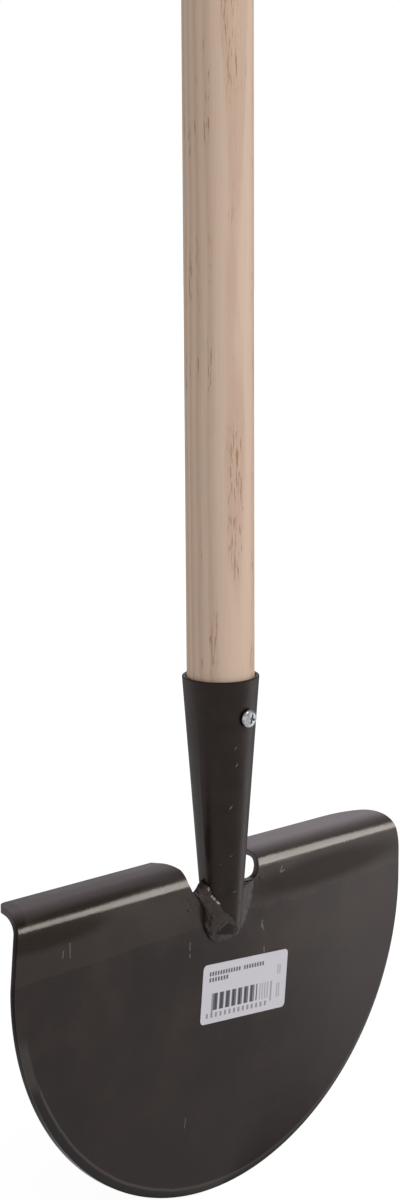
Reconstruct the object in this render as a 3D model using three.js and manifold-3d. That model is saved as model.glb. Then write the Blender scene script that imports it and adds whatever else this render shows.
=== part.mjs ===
// Half-moon lawn edger: a bent steel blade welded to a conical socket, on an ash handle with a T-grip.
// Millimetres, +Z up along the handle. The handle's axis is the Z axis, the blade's front face lies in
// the plane y = 0, and the lowest point of the cutting edge is at z = 0.
import * as THREE from 'three';
import Module from 'manifold-3d';
import { mergeVertices } from 'three/addons/utils/BufferGeometryUtils.js';

const wasm = await Module();
wasm.setup();

// Blade: heights are measured from its widest line, and along the sheet where it bends.
const sheet_thickness = 3;
const blade_half_width = 116.3;
const blade_drop = 113.3;
const left_tread_inset = 1.7;
const right_tread_inset = 0.5;
const tread_height = 33;
const tread_depth = 13.3;
const bend_radius = 10;
const left_corner_radius = 5;
const right_corner_length = 36;
const right_corner_drop = 29;
const bevel_width = 6.5;
const bevel_depth = 0.5;
const blade_turn = 1.45;

// Notch between the two treads, where the socket passes.
const notch_floor = 19.2;
const notch_left_floor = 17;
const notch_left_waist = 20.4;
const notch_left_waist_height = 25.2;
const notch_left_hip = 21.8;
const notch_left_hip_height = 31.3;
const notch_left_end = 28.6;
const notch_right_floor = 17.5;
const notch_right_bulge = 22.6;
const notch_right_bulge_height = 27;
const notch_right_neck = 19.5;
const notch_corner_radius = 1;

// Socket: a cone rolled from sheet, full above the notch's floor and half below it.
const socket_rim_radius = 16;
const socket_taper_share = 0.0739;
const socket_wall = 1.7;
const socket_rise = 91.3;
const socket_lap = 18;
const socket_floor_gap = 1;

// Welds, each a rounded mound that stays clear of the pieces it joins. The front one slopes down and
// forwards along the socket's flanks.
const front_weld_offset = 1.7;
const front_weld_half_width = 14;
const front_weld_depth = 9.2;
const front_weld_half_height = 17.5;
const front_weld_drop = 6.5;
const front_weld_rise = 2.9;
const front_weld_lip = 1.5;
const front_weld_slope = 22;
const toe_lump_radius = 3.2;
const toe_lump_depth = 6;
const toe_lump_offset = -2;
const rear_weld_half_width = 10.8;
const rear_weld_depth = 7.5;
const rear_weld_half_height = 6;

// Socket screw.
const screw_drop = 16;
const screw_head_radius = 3.9;
const screw_head_height = 2.5;
const screw_length = 18;
const screw_crest_radius = 2;
const screw_root_radius = 1.5;
const screw_pitch = 1.5;
const screw_point_length = 3;
const recess_length = 4.6;
const recess_width = 1.1;
const recess_depth = 1.6;

// Handle.
const handle_mouth_radius = 14;
const handle_radius = 14.6;
const handle_swell_length = 400;
const handle_foot_rise = 7.5;
const handle_foot_chamfer = 1.5;
const tool_height = 1050;

// T-grip.
const grip_length = 122;
const grip_radius = 18;
const grip_end_radius = 14.5;
const grip_end_round = 7;
const tenon_radius = 10.5;
const wedge_top_thickness = 2.6;
const wedge_tip_thickness = 1;
const wedge_depth = 15;
const pin_radius = 2;
const pin_drop = 7;

// Label.
const label_width = 52.8;
const label_height = 25.7;
const label_corner_radius = 2;
const label_thickness = 0.2;
const label_offset = 14.5;
const label_drop = 27.4;
const label_turn = -4.4;

// Clearances, the overrun of every cut, and the number of facets.
const fit_gap = 0.3;
const cut_overrun = 5;
const round_segments = 48;
const arc_segments = 64;
const bend_segments = 8;
const corner_segments = 10;
const grip_segments = 6;
const small_segments = 20;

// Shares of the sizes above that shape curves.
const corner_handle_share = 0.6;
const grip_bulge_share = 0.42;
const screw_head_shares = [[0.5, 0.94], [0.8, 0.72], [1, 0.35], [1, 0]];

const half_turn = Math.PI;
const quarter_turn = half_turn / 2;

// Materials.
const lacquer = new THREE.MeshStandardMaterial({ color: 0x3a3533, roughness: 0.42, metalness: 0.55 });
const weld_metal = new THREE.MeshStandardMaterial({ color: 0x45403d, roughness: 0.5, metalness: 0.55 });
const zinc = new THREE.MeshStandardMaterial({ color: 0xa9adb0, roughness: 0.35, metalness: 0.95 });
const ash = new THREE.MeshStandardMaterial({ color: 0xcdb094, roughness: 0.6, metalness: 0 });
const end_ash = new THREE.MeshStandardMaterial({ color: 0xb8946f, roughness: 0.7, metalness: 0 });
const paper = new THREE.MeshStandardMaterial({ color: 0xe6e3ea, roughness: 0.55, metalness: 0 });

// Solids and geometries.
function solidOf(geometry) {
  const bare = geometry.clone();
  bare.deleteAttribute('normal');
  bare.deleteAttribute('uv');
  const merged = mergeVertices(bare);
  return new wasm.Manifold(new wasm.Mesh({
    numProp: merged.attributes.position.itemSize,
    vertProperties: new Float32Array(merged.attributes.position.array),
    triVerts: new Uint32Array(merged.index.array),
  }));
}

function geometryOf(solid) {
  const mesh = solid.getMesh();
  const geometry = new THREE.BufferGeometry();
  geometry.setAttribute('position', new THREE.BufferAttribute(mesh.vertProperties, mesh.numProp));
  geometry.setIndex(new THREE.BufferAttribute(mesh.triVerts, 1));
  return geometry;
}

function named(name, geometry, material) {
  const mesh = new THREE.Mesh(geometry, material);
  mesh.name = name;
  return mesh;
}

// A box between two corners.
function block(low, high) {
  const size = new THREE.Vector3().subVectors(high, low);
  const middle = new THREE.Vector3().addVectors(low, high).multiplyScalar(0.5);
  return new THREE.BoxGeometry(size.x, size.y, size.z).translate(middle.x, middle.y, middle.z);
}

// A profile of [radius, height] pairs turned about the Z axis.
function turned(profile, segments) {
  const points = profile.map(([radius, height]) => new THREE.Vector2(radius, height));
  return new THREE.LatheGeometry(points, segments).rotateX(quarter_turn);
}

function ellipsoid(half_x, half_y, half_z, centre) {
  const ball = new THREE.SphereGeometry(1, round_segments / 2, round_segments / 3);
  return ball.scale(half_x, half_y, half_z).translate(centre.x, centre.y, centre.z);
}

// The bent sheet: a point at x, at a length along the sheet and at a depth into it.
const bend_start = tread_height - bend_radius;
const bend_end = bend_start + bend_radius * quarter_turn;
const sheet_end = bend_end + tread_depth - bend_radius;

function sheetPoint(x, length, depth) {
  if (length <= bend_start) return [x, depth, length];
  if (length >= bend_end) return [x, bend_radius + length - bend_end, tread_height - depth];
  const angle = (length - bend_start) / bend_radius;
  const radius = bend_radius - depth;
  return [x, bend_radius - radius * Math.cos(angle), bend_start + radius * Math.sin(angle)];
}

// An edge of a tread: points of growing length along the sheet, read at any length between them.
function edgeAt(points, length) {
  const next = points.findIndex((point) => point.y >= length);
  if (next <= 0) return points[next === 0 ? 0 : points.length - 1].x;
  const low = points[next - 1];
  const high = points[next];
  return THREE.MathUtils.mapLinear(length, low.y, high.y, low.x, high.x);
}

function curved(from, bend_from, bend_to, to, segments) {
  const at = ([x, y]) => new THREE.Vector2(x, y);
  return new THREE.CubicBezierCurve(at(from), at(bend_from), at(bend_to), at(to)).getPoints(segments);
}

// A quarter round from a side into the back edge, drawn from the side.
function roundedEnd(x, inward, radius) {
  const share = corner_handle_share;
  const foot = sheet_end - radius;
  const end = x + inward * radius;
  return curved([x, foot], [x, foot + radius * share], [end - inward * radius * share, sheet_end],
    [end, sheet_end], corner_segments);
}

// The blade's outer sides, which narrow from the widest line to the bend, by their distance from the middle.
const left_tread_end = blade_half_width - left_tread_inset;
const right_tread_end = blade_half_width - right_tread_inset;
const sideAt = (end, length) => Math.max(end, THREE.MathUtils.lerp(blade_half_width, end, length / bend_start));
const wing_root = (notch_floor + bend_start) / 2;

function leftEdge() {
  return [new THREE.Vector2(-sideAt(left_tread_end, wing_root), wing_root),
    new THREE.Vector2(-left_tread_end, bend_start), ...roundedEnd(-left_tread_end, 1, left_corner_radius)];
}

function rightEdge() {
  const foot = sheet_end - right_corner_drop;
  const end = right_tread_end - right_corner_length;
  const share = corner_handle_share;
  return curved([sideAt(right_tread_end, foot), foot], [right_tread_end, foot + right_corner_drop * share],
    [end + right_corner_length * share, sheet_end], [end, sheet_end], corner_segments);
}

// The notch's sides, from its floor to the back edge.
function notchLeft() {
  const corners = [[notch_left_floor, notch_floor], [notch_left_waist, notch_left_waist_height],
    [notch_left_hip, notch_left_hip_height]];
  return [...corners.map(([x, length]) => new THREE.Vector2(-x, length)),
    ...roundedEnd(-notch_left_end, -1, notch_corner_radius)];
}

function notchRight() {
  const rise = notch_right_bulge_height - notch_floor;
  const top = notch_right_bulge_height + rise;
  const share = corner_handle_share;
  const relief = curved([notch_right_floor, notch_floor],
    [notch_right_bulge, notch_floor], [notch_right_bulge, notch_right_bulge_height - rise * share],
    [notch_right_bulge, notch_right_bulge_height], corner_segments);
  const neck = curved([notch_right_bulge, notch_right_bulge_height],
    [notch_right_bulge, notch_right_bulge_height + rise * share], [notch_right_neck, top - rise * share],
    [notch_right_neck, top], corner_segments);
  return [...relief, ...neck.slice(1), ...roundedEnd(notch_right_neck, 1, notch_corner_radius)];
}

// One tread: rows of four points along the sheet, from the root in the flat plate to the back edge.
function wing(left, right) {
  const bend_rows = Array.from({ length: bend_segments + 1 },
    (unused, row) => THREE.MathUtils.lerp(bend_start, bend_end, row / bend_segments));
  const rows = [wing_root, sheet_end, ...bend_rows, ...left.map((point) => point.y),
    ...right.map((point) => point.y)].filter((length) => length >= wing_root);
  const lengths = rows.sort((a, b) => a - b).filter((length, row) => row === 0 || length - rows[row - 1] > 0);
  const positions = lengths.flatMap((length) => {
    const low = edgeAt(left, length);
    const high = edgeAt(right, length);
    return [...sheetPoint(low, length, 0), ...sheetPoint(high, length, 0),
      ...sheetPoint(high, length, sheet_thickness), ...sheetPoint(low, length, sheet_thickness)];
  });
  const corners = [0, 1, 2, 3];
  const last = (lengths.length - 1) * corners.length;
  const index = [0, 2, 1, 0, 3, 2, last, last + 1, last + 2, last, last + 2, last + 3];
  for (let row = 0; row < last; row += corners.length) {
    for (const corner of corners) {
      const beside = (corner + 1) % corners.length;
      index.push(row + corner, row + beside, row + corners.length + beside);
      index.push(row + corner, row + corners.length + beside, row + corners.length + corner);
    }
  }
  const geometry = new THREE.BufferGeometry();
  geometry.setAttribute('position', new THREE.Float32BufferAttribute(positions, 3));
  geometry.setIndex(index);
  return geometry;
}

// The flat plate below the bend, with the notch's floor in its upper edge.
function plate() {
  const below = (points) => points.filter((point) => point.y < bend_start);
  const cut = (points) => [...below(points), new THREE.Vector2(edgeAt(points, bend_start), bend_start)];
  const shape = new THREE.Shape();
  shape.moveTo(-blade_half_width, 0);
  shape.absellipse(0, 0, blade_half_width, blade_drop, half_turn, 2 * half_turn, false, 0);
  for (const point of cut(rightEdge())) shape.lineTo(point.x, point.y);
  for (const point of cut(notchRight()).reverse()) shape.lineTo(point.x, point.y);
  for (const point of cut(notchLeft())) shape.lineTo(point.x, point.y);
  for (const point of cut(leftEdge()).reverse()) shape.lineTo(point.x, point.y);
  const flat = new THREE.ExtrudeGeometry(shape,
    { depth: sheet_thickness, bevelEnabled: false, curveSegments: arc_segments });
  return flat.rotateX(quarter_turn).translate(0, sheet_thickness, 0);
}

// The ring that grinds the front of the cutting edge to a bevel, which fades out towards the widest line.
function bevelCutter() {
  const slope = bevel_depth / bevel_width;
  const start = blade_drop - bevel_width;
  const inner = start - cut_overrun;
  const outer = blade_drop + cut_overrun;
  const front = -cut_overrun * slope;
  const back = bevel_depth + cut_overrun * slope;
  const profile = [[inner, front], [outer, front], [outer, back], [inner, front]];
  const points = profile.map(([radius, depth]) => new THREE.Vector2(radius, depth));
  const ring = new THREE.LatheGeometry(points, 2 * arc_segments);
  ring.scale(blade_half_width / start, 1, 1);
  const reach = blade_half_width + 2 * cut_overrun;
  const lower = block(new THREE.Vector3(-reach, -reach, -reach), new THREE.Vector3(reach, reach, 0));
  return solidOf(ring).intersect(solidOf(lower));
}

function blade() {
  const sheet = solidOf(plate())
    .add(solidOf(wing(leftEdge(), notchLeft())))
    .add(solidOf(wing(notchRight(), rightEdge())));
  return named('blade', geometryOf(sheet.subtract(bevelCutter())), lacquer);
}

// The blade's lowest point once it is turned, below its widest line.
const turn = THREE.MathUtils.degToRad(blade_turn);
const widest_height = Math.hypot(blade_drop * Math.cos(turn), blade_half_width * Math.sin(turn));
const floor_height = widest_height + notch_floor;
const socket_rim_height = floor_height + socket_rise;
const socket_toe_height = floor_height - socket_lap;

// The socket's outer radius at a height.
const socketRadius = (height) => socket_rim_radius - socket_taper_share * (socket_rim_height - height);

// The socket's cone between two heights, grown or shrunk by an offset.
function cone(low, high, offset) {
  return turned([[0, low], [socketRadius(low) + offset, low], [socketRadius(high) + offset, high], [0, high]],
    round_segments);
}

// A cylinder along Y from the front to the handle's axis or beyond.
function borePin(radius, height, front, back) {
  const pin = new THREE.CylinderGeometry(radius, radius, back - front, small_segments);
  return pin.translate(0, (front + back) / 2, height);
}

const screw_height = socket_rim_height - screw_drop;
const screw_seat = -socketRadius(screw_height + screw_head_radius) - fit_gap;

function socket() {
  const bore = cone(socket_toe_height - cut_overrun, socket_rim_height + cut_overrun, -socket_wall);
  const reach = socket_rim_radius + cut_overrun;
  const behind = block(new THREE.Vector3(-reach, 0, socket_toe_height - cut_overrun),
    new THREE.Vector3(reach, reach, floor_height + socket_floor_gap));
  const hole = borePin(screw_crest_radius + fit_gap, screw_height, -reach, 0);
  const tube = solidOf(cone(socket_toe_height, socket_rim_height, 0))
    .subtract(solidOf(bore))
    .subtract(solidOf(behind))
    .subtract(solidOf(hole));
  return named('socket', geometryOf(tube), lacquer);
}

// Everything within a gap of the socket's outside, for shaping the welds.
function aroundSocket() {
  return solidOf(cone(socket_toe_height - fit_gap, socket_rim_height, fit_gap));
}

function frontWeld() {
  const middle = floor_height - front_weld_drop;
  const top = floor_height + front_weld_rise;
  const mound = ellipsoid(front_weld_half_width, front_weld_depth, front_weld_half_height,
    new THREE.Vector3(front_weld_offset, 0, middle));
  const lump = ellipsoid(toe_lump_radius, toe_lump_radius, toe_lump_radius,
    new THREE.Vector3(toe_lump_offset, -toe_lump_depth, socket_toe_height));
  const reach = front_weld_half_width + front_weld_half_height;
  const ahead = block(new THREE.Vector3(-reach, -reach, middle - reach), new THREE.Vector3(reach, 0, top));
  const shaving = block(new THREE.Vector3(-reach, -reach, -2 * reach), new THREE.Vector3(reach, 0, reach));
  shaving.rotateX(-THREE.MathUtils.degToRad(front_weld_slope)).translate(0, -front_weld_lip, top);
  const weld = solidOf(mound).subtract(solidOf(shaving)).add(solidOf(lump)).subtract(aroundSocket())
    .intersect(solidOf(ahead));
  return named('front_weld', geometryOf(weld), weld_metal);
}

function rearWeld() {
  const back = sheet_thickness + fit_gap;
  const floor = floor_height + socket_floor_gap / 2;
  const mound = ellipsoid(rear_weld_half_width, rear_weld_depth, rear_weld_half_height,
    new THREE.Vector3(0, back, floor));
  const reach = rear_weld_half_width + cut_overrun;
  const low = floor_height - reach;
  const behind = block(new THREE.Vector3(-reach, back, low), new THREE.Vector3(reach, reach, floor + reach));
  const weld = solidOf(mound).intersect(solidOf(behind)).subtract(
    solidOf(cone(floor_height + socket_floor_gap - fit_gap, socket_rim_height, fit_gap)));
  return named('rear_weld', geometryOf(weld), weld_metal);
}

function socketScrew() {
  const dome = screw_head_shares.map(
    ([radius, height]) => [radius * screw_head_radius, -height * screw_head_height]);
  const profile = [[0, -screw_head_height], ...dome, [screw_crest_radius, 0]];
  const threads = Math.floor((screw_length - screw_point_length) / screw_pitch);
  for (let thread = 1; thread <= threads; thread += 1) {
    const end = thread * screw_pitch;
    profile.push([screw_root_radius, end - screw_pitch / 2], [screw_crest_radius, end]);
  }
  profile.push([0, screw_length]);
  const points = profile.map(([radius, depth]) => new THREE.Vector2(radius, depth));
  const bar = new THREE.LatheGeometry(points, small_segments).translate(0, screw_seat, screw_height);
  const front = screw_seat - screw_head_height;
  const slot = (half_x, half_z) => solidOf(block(
    new THREE.Vector3(-half_x, front - cut_overrun, screw_height - half_z),
    new THREE.Vector3(half_x, front + recess_depth, screw_height + half_z)));
  const recess = slot(recess_length / 2, recess_width / 2).add(slot(recess_width / 2, recess_length / 2));
  return named('socket_screw', geometryOf(solidOf(bar).subtract(recess)), zinc);
}

// The T-grip's crosspiece lies along X at this height.
const grip_height = tool_height - grip_radius;

function gripBody(offset) {
  const half = grip_length / 2 + offset;
  const shoulder = half - grip_end_round;
  const swell = new THREE.CubicBezierCurve(
    new THREE.Vector2(grip_end_radius + offset, -shoulder),
    new THREE.Vector2(grip_radius + offset, -shoulder * grip_bulge_share),
    new THREE.Vector2(grip_radius + offset, -shoulder * grip_bulge_share),
    new THREE.Vector2(grip_radius + offset, 0)).getPoints(grip_segments);
  const flat = grip_end_radius + offset - grip_end_round;
  const round = Array.from({ length: grip_segments }, (unused, step) => {
    const angle = quarter_turn * (step / grip_segments);
    return new THREE.Vector2(flat + grip_end_round * Math.sin(angle),
      -shoulder - grip_end_round * Math.cos(angle));
  });
  const lower = [new THREE.Vector2(0, -half), ...round, ...swell];
  const upper = lower.slice(0, -1).reverse().map((point) => new THREE.Vector2(point.x, -point.y));
  const body = new THREE.LatheGeometry([...lower, ...upper], round_segments);
  return body.rotateZ(-quarter_turn).translate(0, 0, grip_height);
}

const pin_height = grip_height - pin_drop;

function pinHole() {
  const reach = grip_radius + cut_overrun;
  return solidOf(borePin(pin_radius + fit_gap, pin_height, -reach, reach));
}

function gripCrosspiece() {
  const bore = turned([[0, grip_height - grip_radius - cut_overrun],
    [tenon_radius + fit_gap, grip_height - grip_radius - cut_overrun],
    [tenon_radius + fit_gap, tool_height + cut_overrun], [0, tool_height + cut_overrun]], round_segments);
  const crosspiece = solidOf(gripBody(0)).subtract(solidOf(bore)).subtract(pinHole());
  return named('grip_crosspiece', geometryOf(crosspiece), ash);
}

// The wedge in the tenon's end, grown by an offset for its kerf.
function wedgeBody(offset, top) {
  const half_top = wedge_top_thickness / 2 + offset;
  const half_tip = wedge_tip_thickness / 2 + offset;
  const tip = tool_height - wedge_depth - offset;
  const shape = new THREE.Shape([new THREE.Vector2(-half_tip, tip), new THREE.Vector2(half_tip, tip),
    new THREE.Vector2(half_top, top), new THREE.Vector2(-half_top, top)]);
  const width = 2 * tenon_radius + 2 * cut_overrun;
  const body = new THREE.ExtrudeGeometry(shape, { depth: width, bevelEnabled: false });
  return body.translate(0, 0, -width / 2).rotateX(quarter_turn);
}

// The tenon through the crosspiece, cut off level with the crosspiece's top.
function tenonTop() {
  return solidOf(turned([[0, grip_height], [tenon_radius, grip_height], [tenon_radius, tool_height],
    [0, tool_height]], round_segments)).intersect(solidOf(gripBody(0)));
}

function handleShaft() {
  const foot = floor_height + handle_foot_rise;
  const swell = socket_rim_height + handle_swell_length;
  const inSocket = (height) => socketRadius(height) - socket_wall - fit_gap;
  const profile = [[0, foot], [inSocket(foot) - handle_foot_chamfer, foot],
    [inSocket(foot + handle_foot_chamfer), foot + handle_foot_chamfer],
    [handle_mouth_radius, socket_rim_height], [handle_radius, swell],
    [handle_radius, grip_height], [0, grip_height]];
  const kerf = solidOf(wedgeBody(fit_gap, tool_height + cut_overrun));
  const pilot = borePin(screw_crest_radius + fit_gap, screw_height, -socket_rim_radius,
    screw_seat + screw_length + fit_gap);
  const stem = solidOf(turned([[0, swell], [tenon_radius, swell], [tenon_radius, grip_height],
    [0, grip_height]], round_segments));
  const shaft = solidOf(turned(profile, round_segments)).subtract(solidOf(gripBody(fit_gap)))
    .add(stem).add(tenonTop())
    .subtract(kerf).subtract(solidOf(pilot)).subtract(pinHole());
  return named('handle_shaft', geometryOf(shaft), ash);
}

function gripWedge() {
  const wedge = tenonTop().intersect(solidOf(wedgeBody(0, tool_height)));
  return named('grip_wedge', geometryOf(wedge), end_ash);
}

function gripPin() {
  const pin = solidOf(borePin(pin_radius, pin_height, -grip_radius, grip_radius));
  return named('grip_pin', geometryOf(pin.intersect(solidOf(gripBody(0)))), zinc);
}

function label() {
  const x = label_width / 2;
  const y = label_height / 2;
  const r = label_corner_radius;
  const shape = new THREE.Shape();
  shape.absarc(x - r, y - r, r, 0, quarter_turn);
  shape.absarc(r - x, y - r, r, quarter_turn, half_turn);
  shape.absarc(r - x, r - y, r, half_turn, half_turn + quarter_turn);
  shape.absarc(x - r, r - y, r, half_turn + quarter_turn, 2 * half_turn);
  const sheet = new THREE.ExtrudeGeometry(shape,
    { depth: label_thickness, bevelEnabled: false, curveSegments: corner_segments / 2 });
  sheet.rotateZ(THREE.MathUtils.degToRad(label_turn)).rotateX(quarter_turn);
  return named('label', sheet.translate(label_offset, 0, -label_drop), paper);
}

const blade_group = new THREE.Group();
blade_group.add(blade(), label());
blade_group.rotation.y = turn;
blade_group.position.z = widest_height;

const lawn_edger = new THREE.Group();
lawn_edger.add(blade_group, socket(), frontWeld(), rearWeld(), socketScrew(), handleShaft(), gripCrosspiece(),
  gripWedge(), gripPin());

export default lawn_edger;
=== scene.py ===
"""Half-moon lawn edger: finer pieces, finishes and a plain studio around the fixed CAD frame.

Lengths are metres. +Z runs up the handle, whose axis is the Z axis, and the blade's front face
lies in the plane y = 0.
"""

from __future__ import annotations

import logging
import math
from dataclasses import dataclass, field
from enum import Enum
from typing import Iterable, Sequence

import bmesh
import bpy
from mathutils import Matrix, Quaternion, Vector, geometry, noise


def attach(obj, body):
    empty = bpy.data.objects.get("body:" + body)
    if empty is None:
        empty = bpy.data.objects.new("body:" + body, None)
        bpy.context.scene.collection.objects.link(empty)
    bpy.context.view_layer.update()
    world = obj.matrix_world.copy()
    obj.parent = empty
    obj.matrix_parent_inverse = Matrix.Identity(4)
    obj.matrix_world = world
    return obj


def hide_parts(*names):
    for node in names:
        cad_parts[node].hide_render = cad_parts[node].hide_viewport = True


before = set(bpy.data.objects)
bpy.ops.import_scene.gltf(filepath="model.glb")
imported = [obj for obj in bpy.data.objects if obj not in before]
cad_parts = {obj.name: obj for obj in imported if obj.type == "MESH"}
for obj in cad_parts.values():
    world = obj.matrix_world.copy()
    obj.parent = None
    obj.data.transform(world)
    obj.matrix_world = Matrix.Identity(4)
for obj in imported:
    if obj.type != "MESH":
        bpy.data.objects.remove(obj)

Colour = tuple[float, float, float]
Point = tuple[float, float, float]
Pair = tuple[float, float]
Mesh = bmesh.types.BMesh
Output = bpy.types.NodeSocket

LOG = logging.getLogger("lawn_edger")
BODY = "root"
FULL_TURN = 2 * math.pi
X_AXIS = Vector((1, 0, 0))
Y_AXIS = Vector((0, 1, 0))
Z_AXIS = Vector((0, 0, 1))
ORIGIN = Vector((0, 0, 0))
# Vertices closer than this become one.
MERGE = 1e-6
# How far a rounding's pulls reach towards its corner.
PULL = 0.6


class Kind(Enum):
    """What a socket of a node group carries."""

    NUMBER = "NodeSocketFloat"
    VECTOR = "NodeSocketVector"


class Grain(Enum):
    """Which way the fibres of a wooden piece run."""

    UPRIGHT = (0.0, 0.0, 0.0)
    ACROSS = (0.0, math.pi / 2, 0.0)


class Slot(Enum):
    """The record's material slots."""

    LACQUERED_STEEL = "lacquered_steel"
    LACQUERED_WELD = "lacquered_weld"
    ZINC = "zinc_plate"
    ASH = "ash"
    WEDGE = "wedge_wood"
    PAPER = "label_paper"


class Join(Enum):
    """How a second closed shape acts on the first."""

    CUT = "DIFFERENCE"
    ADD = "UNION"
    KEEP = "INTERSECT"


# Meshes.
def move(bm: Mesh, way: Sequence[float]) -> None:
    """Moves a whole mesh."""
    bmesh.ops.translate(bm, vec=way, verts=bm.verts)


def turn(bm: Mesh, angle: float, axis: str) -> None:
    """Turns a whole mesh about an axis through the origin."""
    bmesh.ops.rotate(bm, cent=ORIGIN, matrix=Matrix.Rotation(angle, 3, axis), verts=bm.verts)


def tidy(bm: Mesh) -> None:
    """Merges doubles and turns the faces outwards."""
    bmesh.ops.remove_doubles(bm, verts=bm.verts, dist=MERGE)
    bmesh.ops.recalc_face_normals(bm, faces=bm.faces)


def spun(profile: Sequence[Pair], steps: int, axis: Vector = Z_AXIS) -> Mesh:
    """Turns a closed profile about an axis.

    Args:
        profile: pairs of a radius and a height along the axis, in order.
        steps: how many facets run round.
        axis: the axis, which replaces Z.

    Returns:
        The turned shape, with its faces outwards.
    """
    bm = bmesh.new()
    ring = [bm.verts.new((radius, 0, height)) for radius, height in profile]
    edges = [bm.edges.new((ring[i - 1], ring[i])) for i in range(1, len(ring))]
    if profile[0][0] > 0:
        edges.append(bm.edges.new((ring[-1], ring[0])))
    bmesh.ops.spin(bm, geom=ring + edges, cent=ORIGIN, axis=Z_AXIS, dvec=ORIGIN, angle=FULL_TURN, steps=steps,
                   use_merge=True)
    tidy(bm)
    bmesh.ops.rotate(bm, cent=ORIGIN, matrix=Z_AXIS.rotation_difference(axis).to_matrix(), verts=bm.verts)
    return bm


def rod(radius: float, low: float, high: float, steps: int, axis: Vector = Z_AXIS) -> Mesh:
    """Makes a round bar between two heights on an axis."""
    return spun([(0, low), (radius, low), (radius, high), (0, high)], steps, axis)


def block(low: Point, high: Point) -> Mesh:
    """Makes a box between two corners.

    Args:
        low: its lowest corner.
        high: its highest corner.

    Returns:
        The box.
    """
    bm = bmesh.new()
    bmesh.ops.create_cube(bm, size=1)
    bmesh.ops.scale(bm, vec=Vector(high) - Vector(low), verts=bm.verts)
    move(bm, (Vector(low) + Vector(high)) / 2)
    return bm


def ball(centre: Point, reach: Point, fineness: int = 4) -> Mesh:
    """Makes an ellipsoid.

    Args:
        centre: its middle.
        reach: its half lengths.
        fineness: how often its faces are divided.

    Returns:
        The ellipsoid.
    """
    bm = bmesh.new()
    bmesh.ops.create_icosphere(bm, subdivisions=fineness, radius=1)
    bmesh.ops.scale(bm, vec=reach, verts=bm.verts)
    move(bm, centre)
    return bm


def only(parts: Iterable[object], kind: type) -> list:
    """Gives the parts of one kind out of an operator's result."""
    return [part for part in parts if isinstance(part, kind)]


def thicken(bm: Mesh, way: Vector) -> None:
    """Gives a flat sheet its thickness.

    Args:
        bm: the sheet.
        way: the direction and length that its faces are pulled.
    """
    grown = bmesh.ops.extrude_face_region(bm, geom=list(bm.faces))["geom"]
    bmesh.ops.translate(bm, vec=way, verts=only(grown, bmesh.types.BMVert))
    tidy(bm)


def soften(bm: Mesh, width: float, least: float, most: float = math.pi, segments: int = 3) -> None:
    """Rounds the edges whose faces meet within a range of angles.

    Args:
        bm: the mesh.
        width: how far the rounding reaches.
        least: the smallest angle between the faces, in radians.
        most: the largest angle.
        segments: facets across the rounding.
    """
    edges = [edge for edge in bm.edges if len(edge.link_faces) == 2 and least < edge.calc_face_angle(0.0) < most]
    bmesh.ops.bevel(bm, geom=edges, offset=width, segments=segments, profile=0.5, affect="EDGES", material=-1,
                    clamp_overlap=True)


def slice_off(bm: Mesh, point: Point, outward: Point) -> None:
    """Cuts away what lies beyond a plane and closes the cut.

    Args:
        bm: a closed mesh.
        point: a point of the plane.
        outward: the direction that is cut away.
    """
    parts = [*bm.verts, *bm.edges, *bm.faces]
    bmesh.ops.bisect_plane(bm, geom=parts, plane_co=point, plane_no=outward, clear_outer=True)
    bmesh.ops.holes_fill(bm, edges=[edge for edge in bm.edges if edge.is_boundary], sides=0)
    bmesh.ops.recalc_face_normals(bm, faces=bm.faces)


def stored(name: str, bm: Mesh) -> bpy.types.Mesh:
    """Moves a shape into mesh data of its own.

    Args:
        name: the mesh's name.
        bm: the shape, which is freed.

    Returns:
        The mesh data.
    """
    mesh = bpy.data.meshes.new(name)
    bm.to_mesh(mesh)
    bm.free()
    return mesh


def shown(name: str, data: bpy.types.ID) -> bpy.types.Object:
    """Puts a mesh, a lamp or a camera in the scene.

    Args:
        name: the object's name.
        data: what it holds.

    Returns:
        The object.
    """
    made = bpy.data.objects.new(name, data)
    bpy.context.scene.collection.objects.link(made)
    return made


def discard(work: bpy.types.Object) -> None:
    """Removes an object and its mesh.

    Args:
        work: the object.
    """
    mesh = work.data
    bpy.data.objects.remove(work)
    bpy.data.meshes.remove(mesh)


def finished(work: bpy.types.Object) -> Mesh:
    """Applies an object's modifiers and removes the object.

    Args:
        work: the object.

    Returns:
        Its finished mesh.
    """
    bm = bmesh.new()
    bm.from_object(work, bpy.context.evaluated_depsgraph_get())
    discard(work)
    return bm


def combined(base: Mesh, tools: Sequence[Mesh], join: Join) -> Mesh:
    """Joins or cuts closed shapes.

    Args:
        base: the first shape, which is freed.
        tools: the shapes that act on it, which are freed.
        join: how they act.

    Returns:
        The result.
    """
    work = shown("work", stored("work", base))
    helpers = [shown("work", stored("work", tool)) for tool in tools]
    for helper in helpers:
        modifier = work.modifiers.new("join", "BOOLEAN")
        modifier.operation = join.value
        modifier.solver = "EXACT"
        modifier.object = helper
    result = finished(work)
    for helper in helpers:
        discard(helper)
    bmesh.ops.remove_doubles(result, verts=result.verts, dist=MERGE)
    bmesh.ops.dissolve_limit(result, angle_limit=math.radians(0.4), verts=result.verts, edges=result.edges)
    return result


def rounded(corners: Sequence[Vector], steps: int = 5) -> list[Vector]:
    """Runs a smooth closed curve through a ring of points.

    Args:
        corners: the points, in order.
        steps: how many points stand for each of them.

    Returns:
        The curve's points.
    """
    curve = []
    for index, here in enumerate(corners):
        before, after, beyond = (corners[(index + shift) % len(corners)] for shift in (-1, 1, 2))
        pulls = (here + (after - before) / 6, after - (beyond - here) / 6)
        curve += geometry.interpolate_bezier(here, *pulls, after, steps + 1)[:-1]
    return curve


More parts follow.
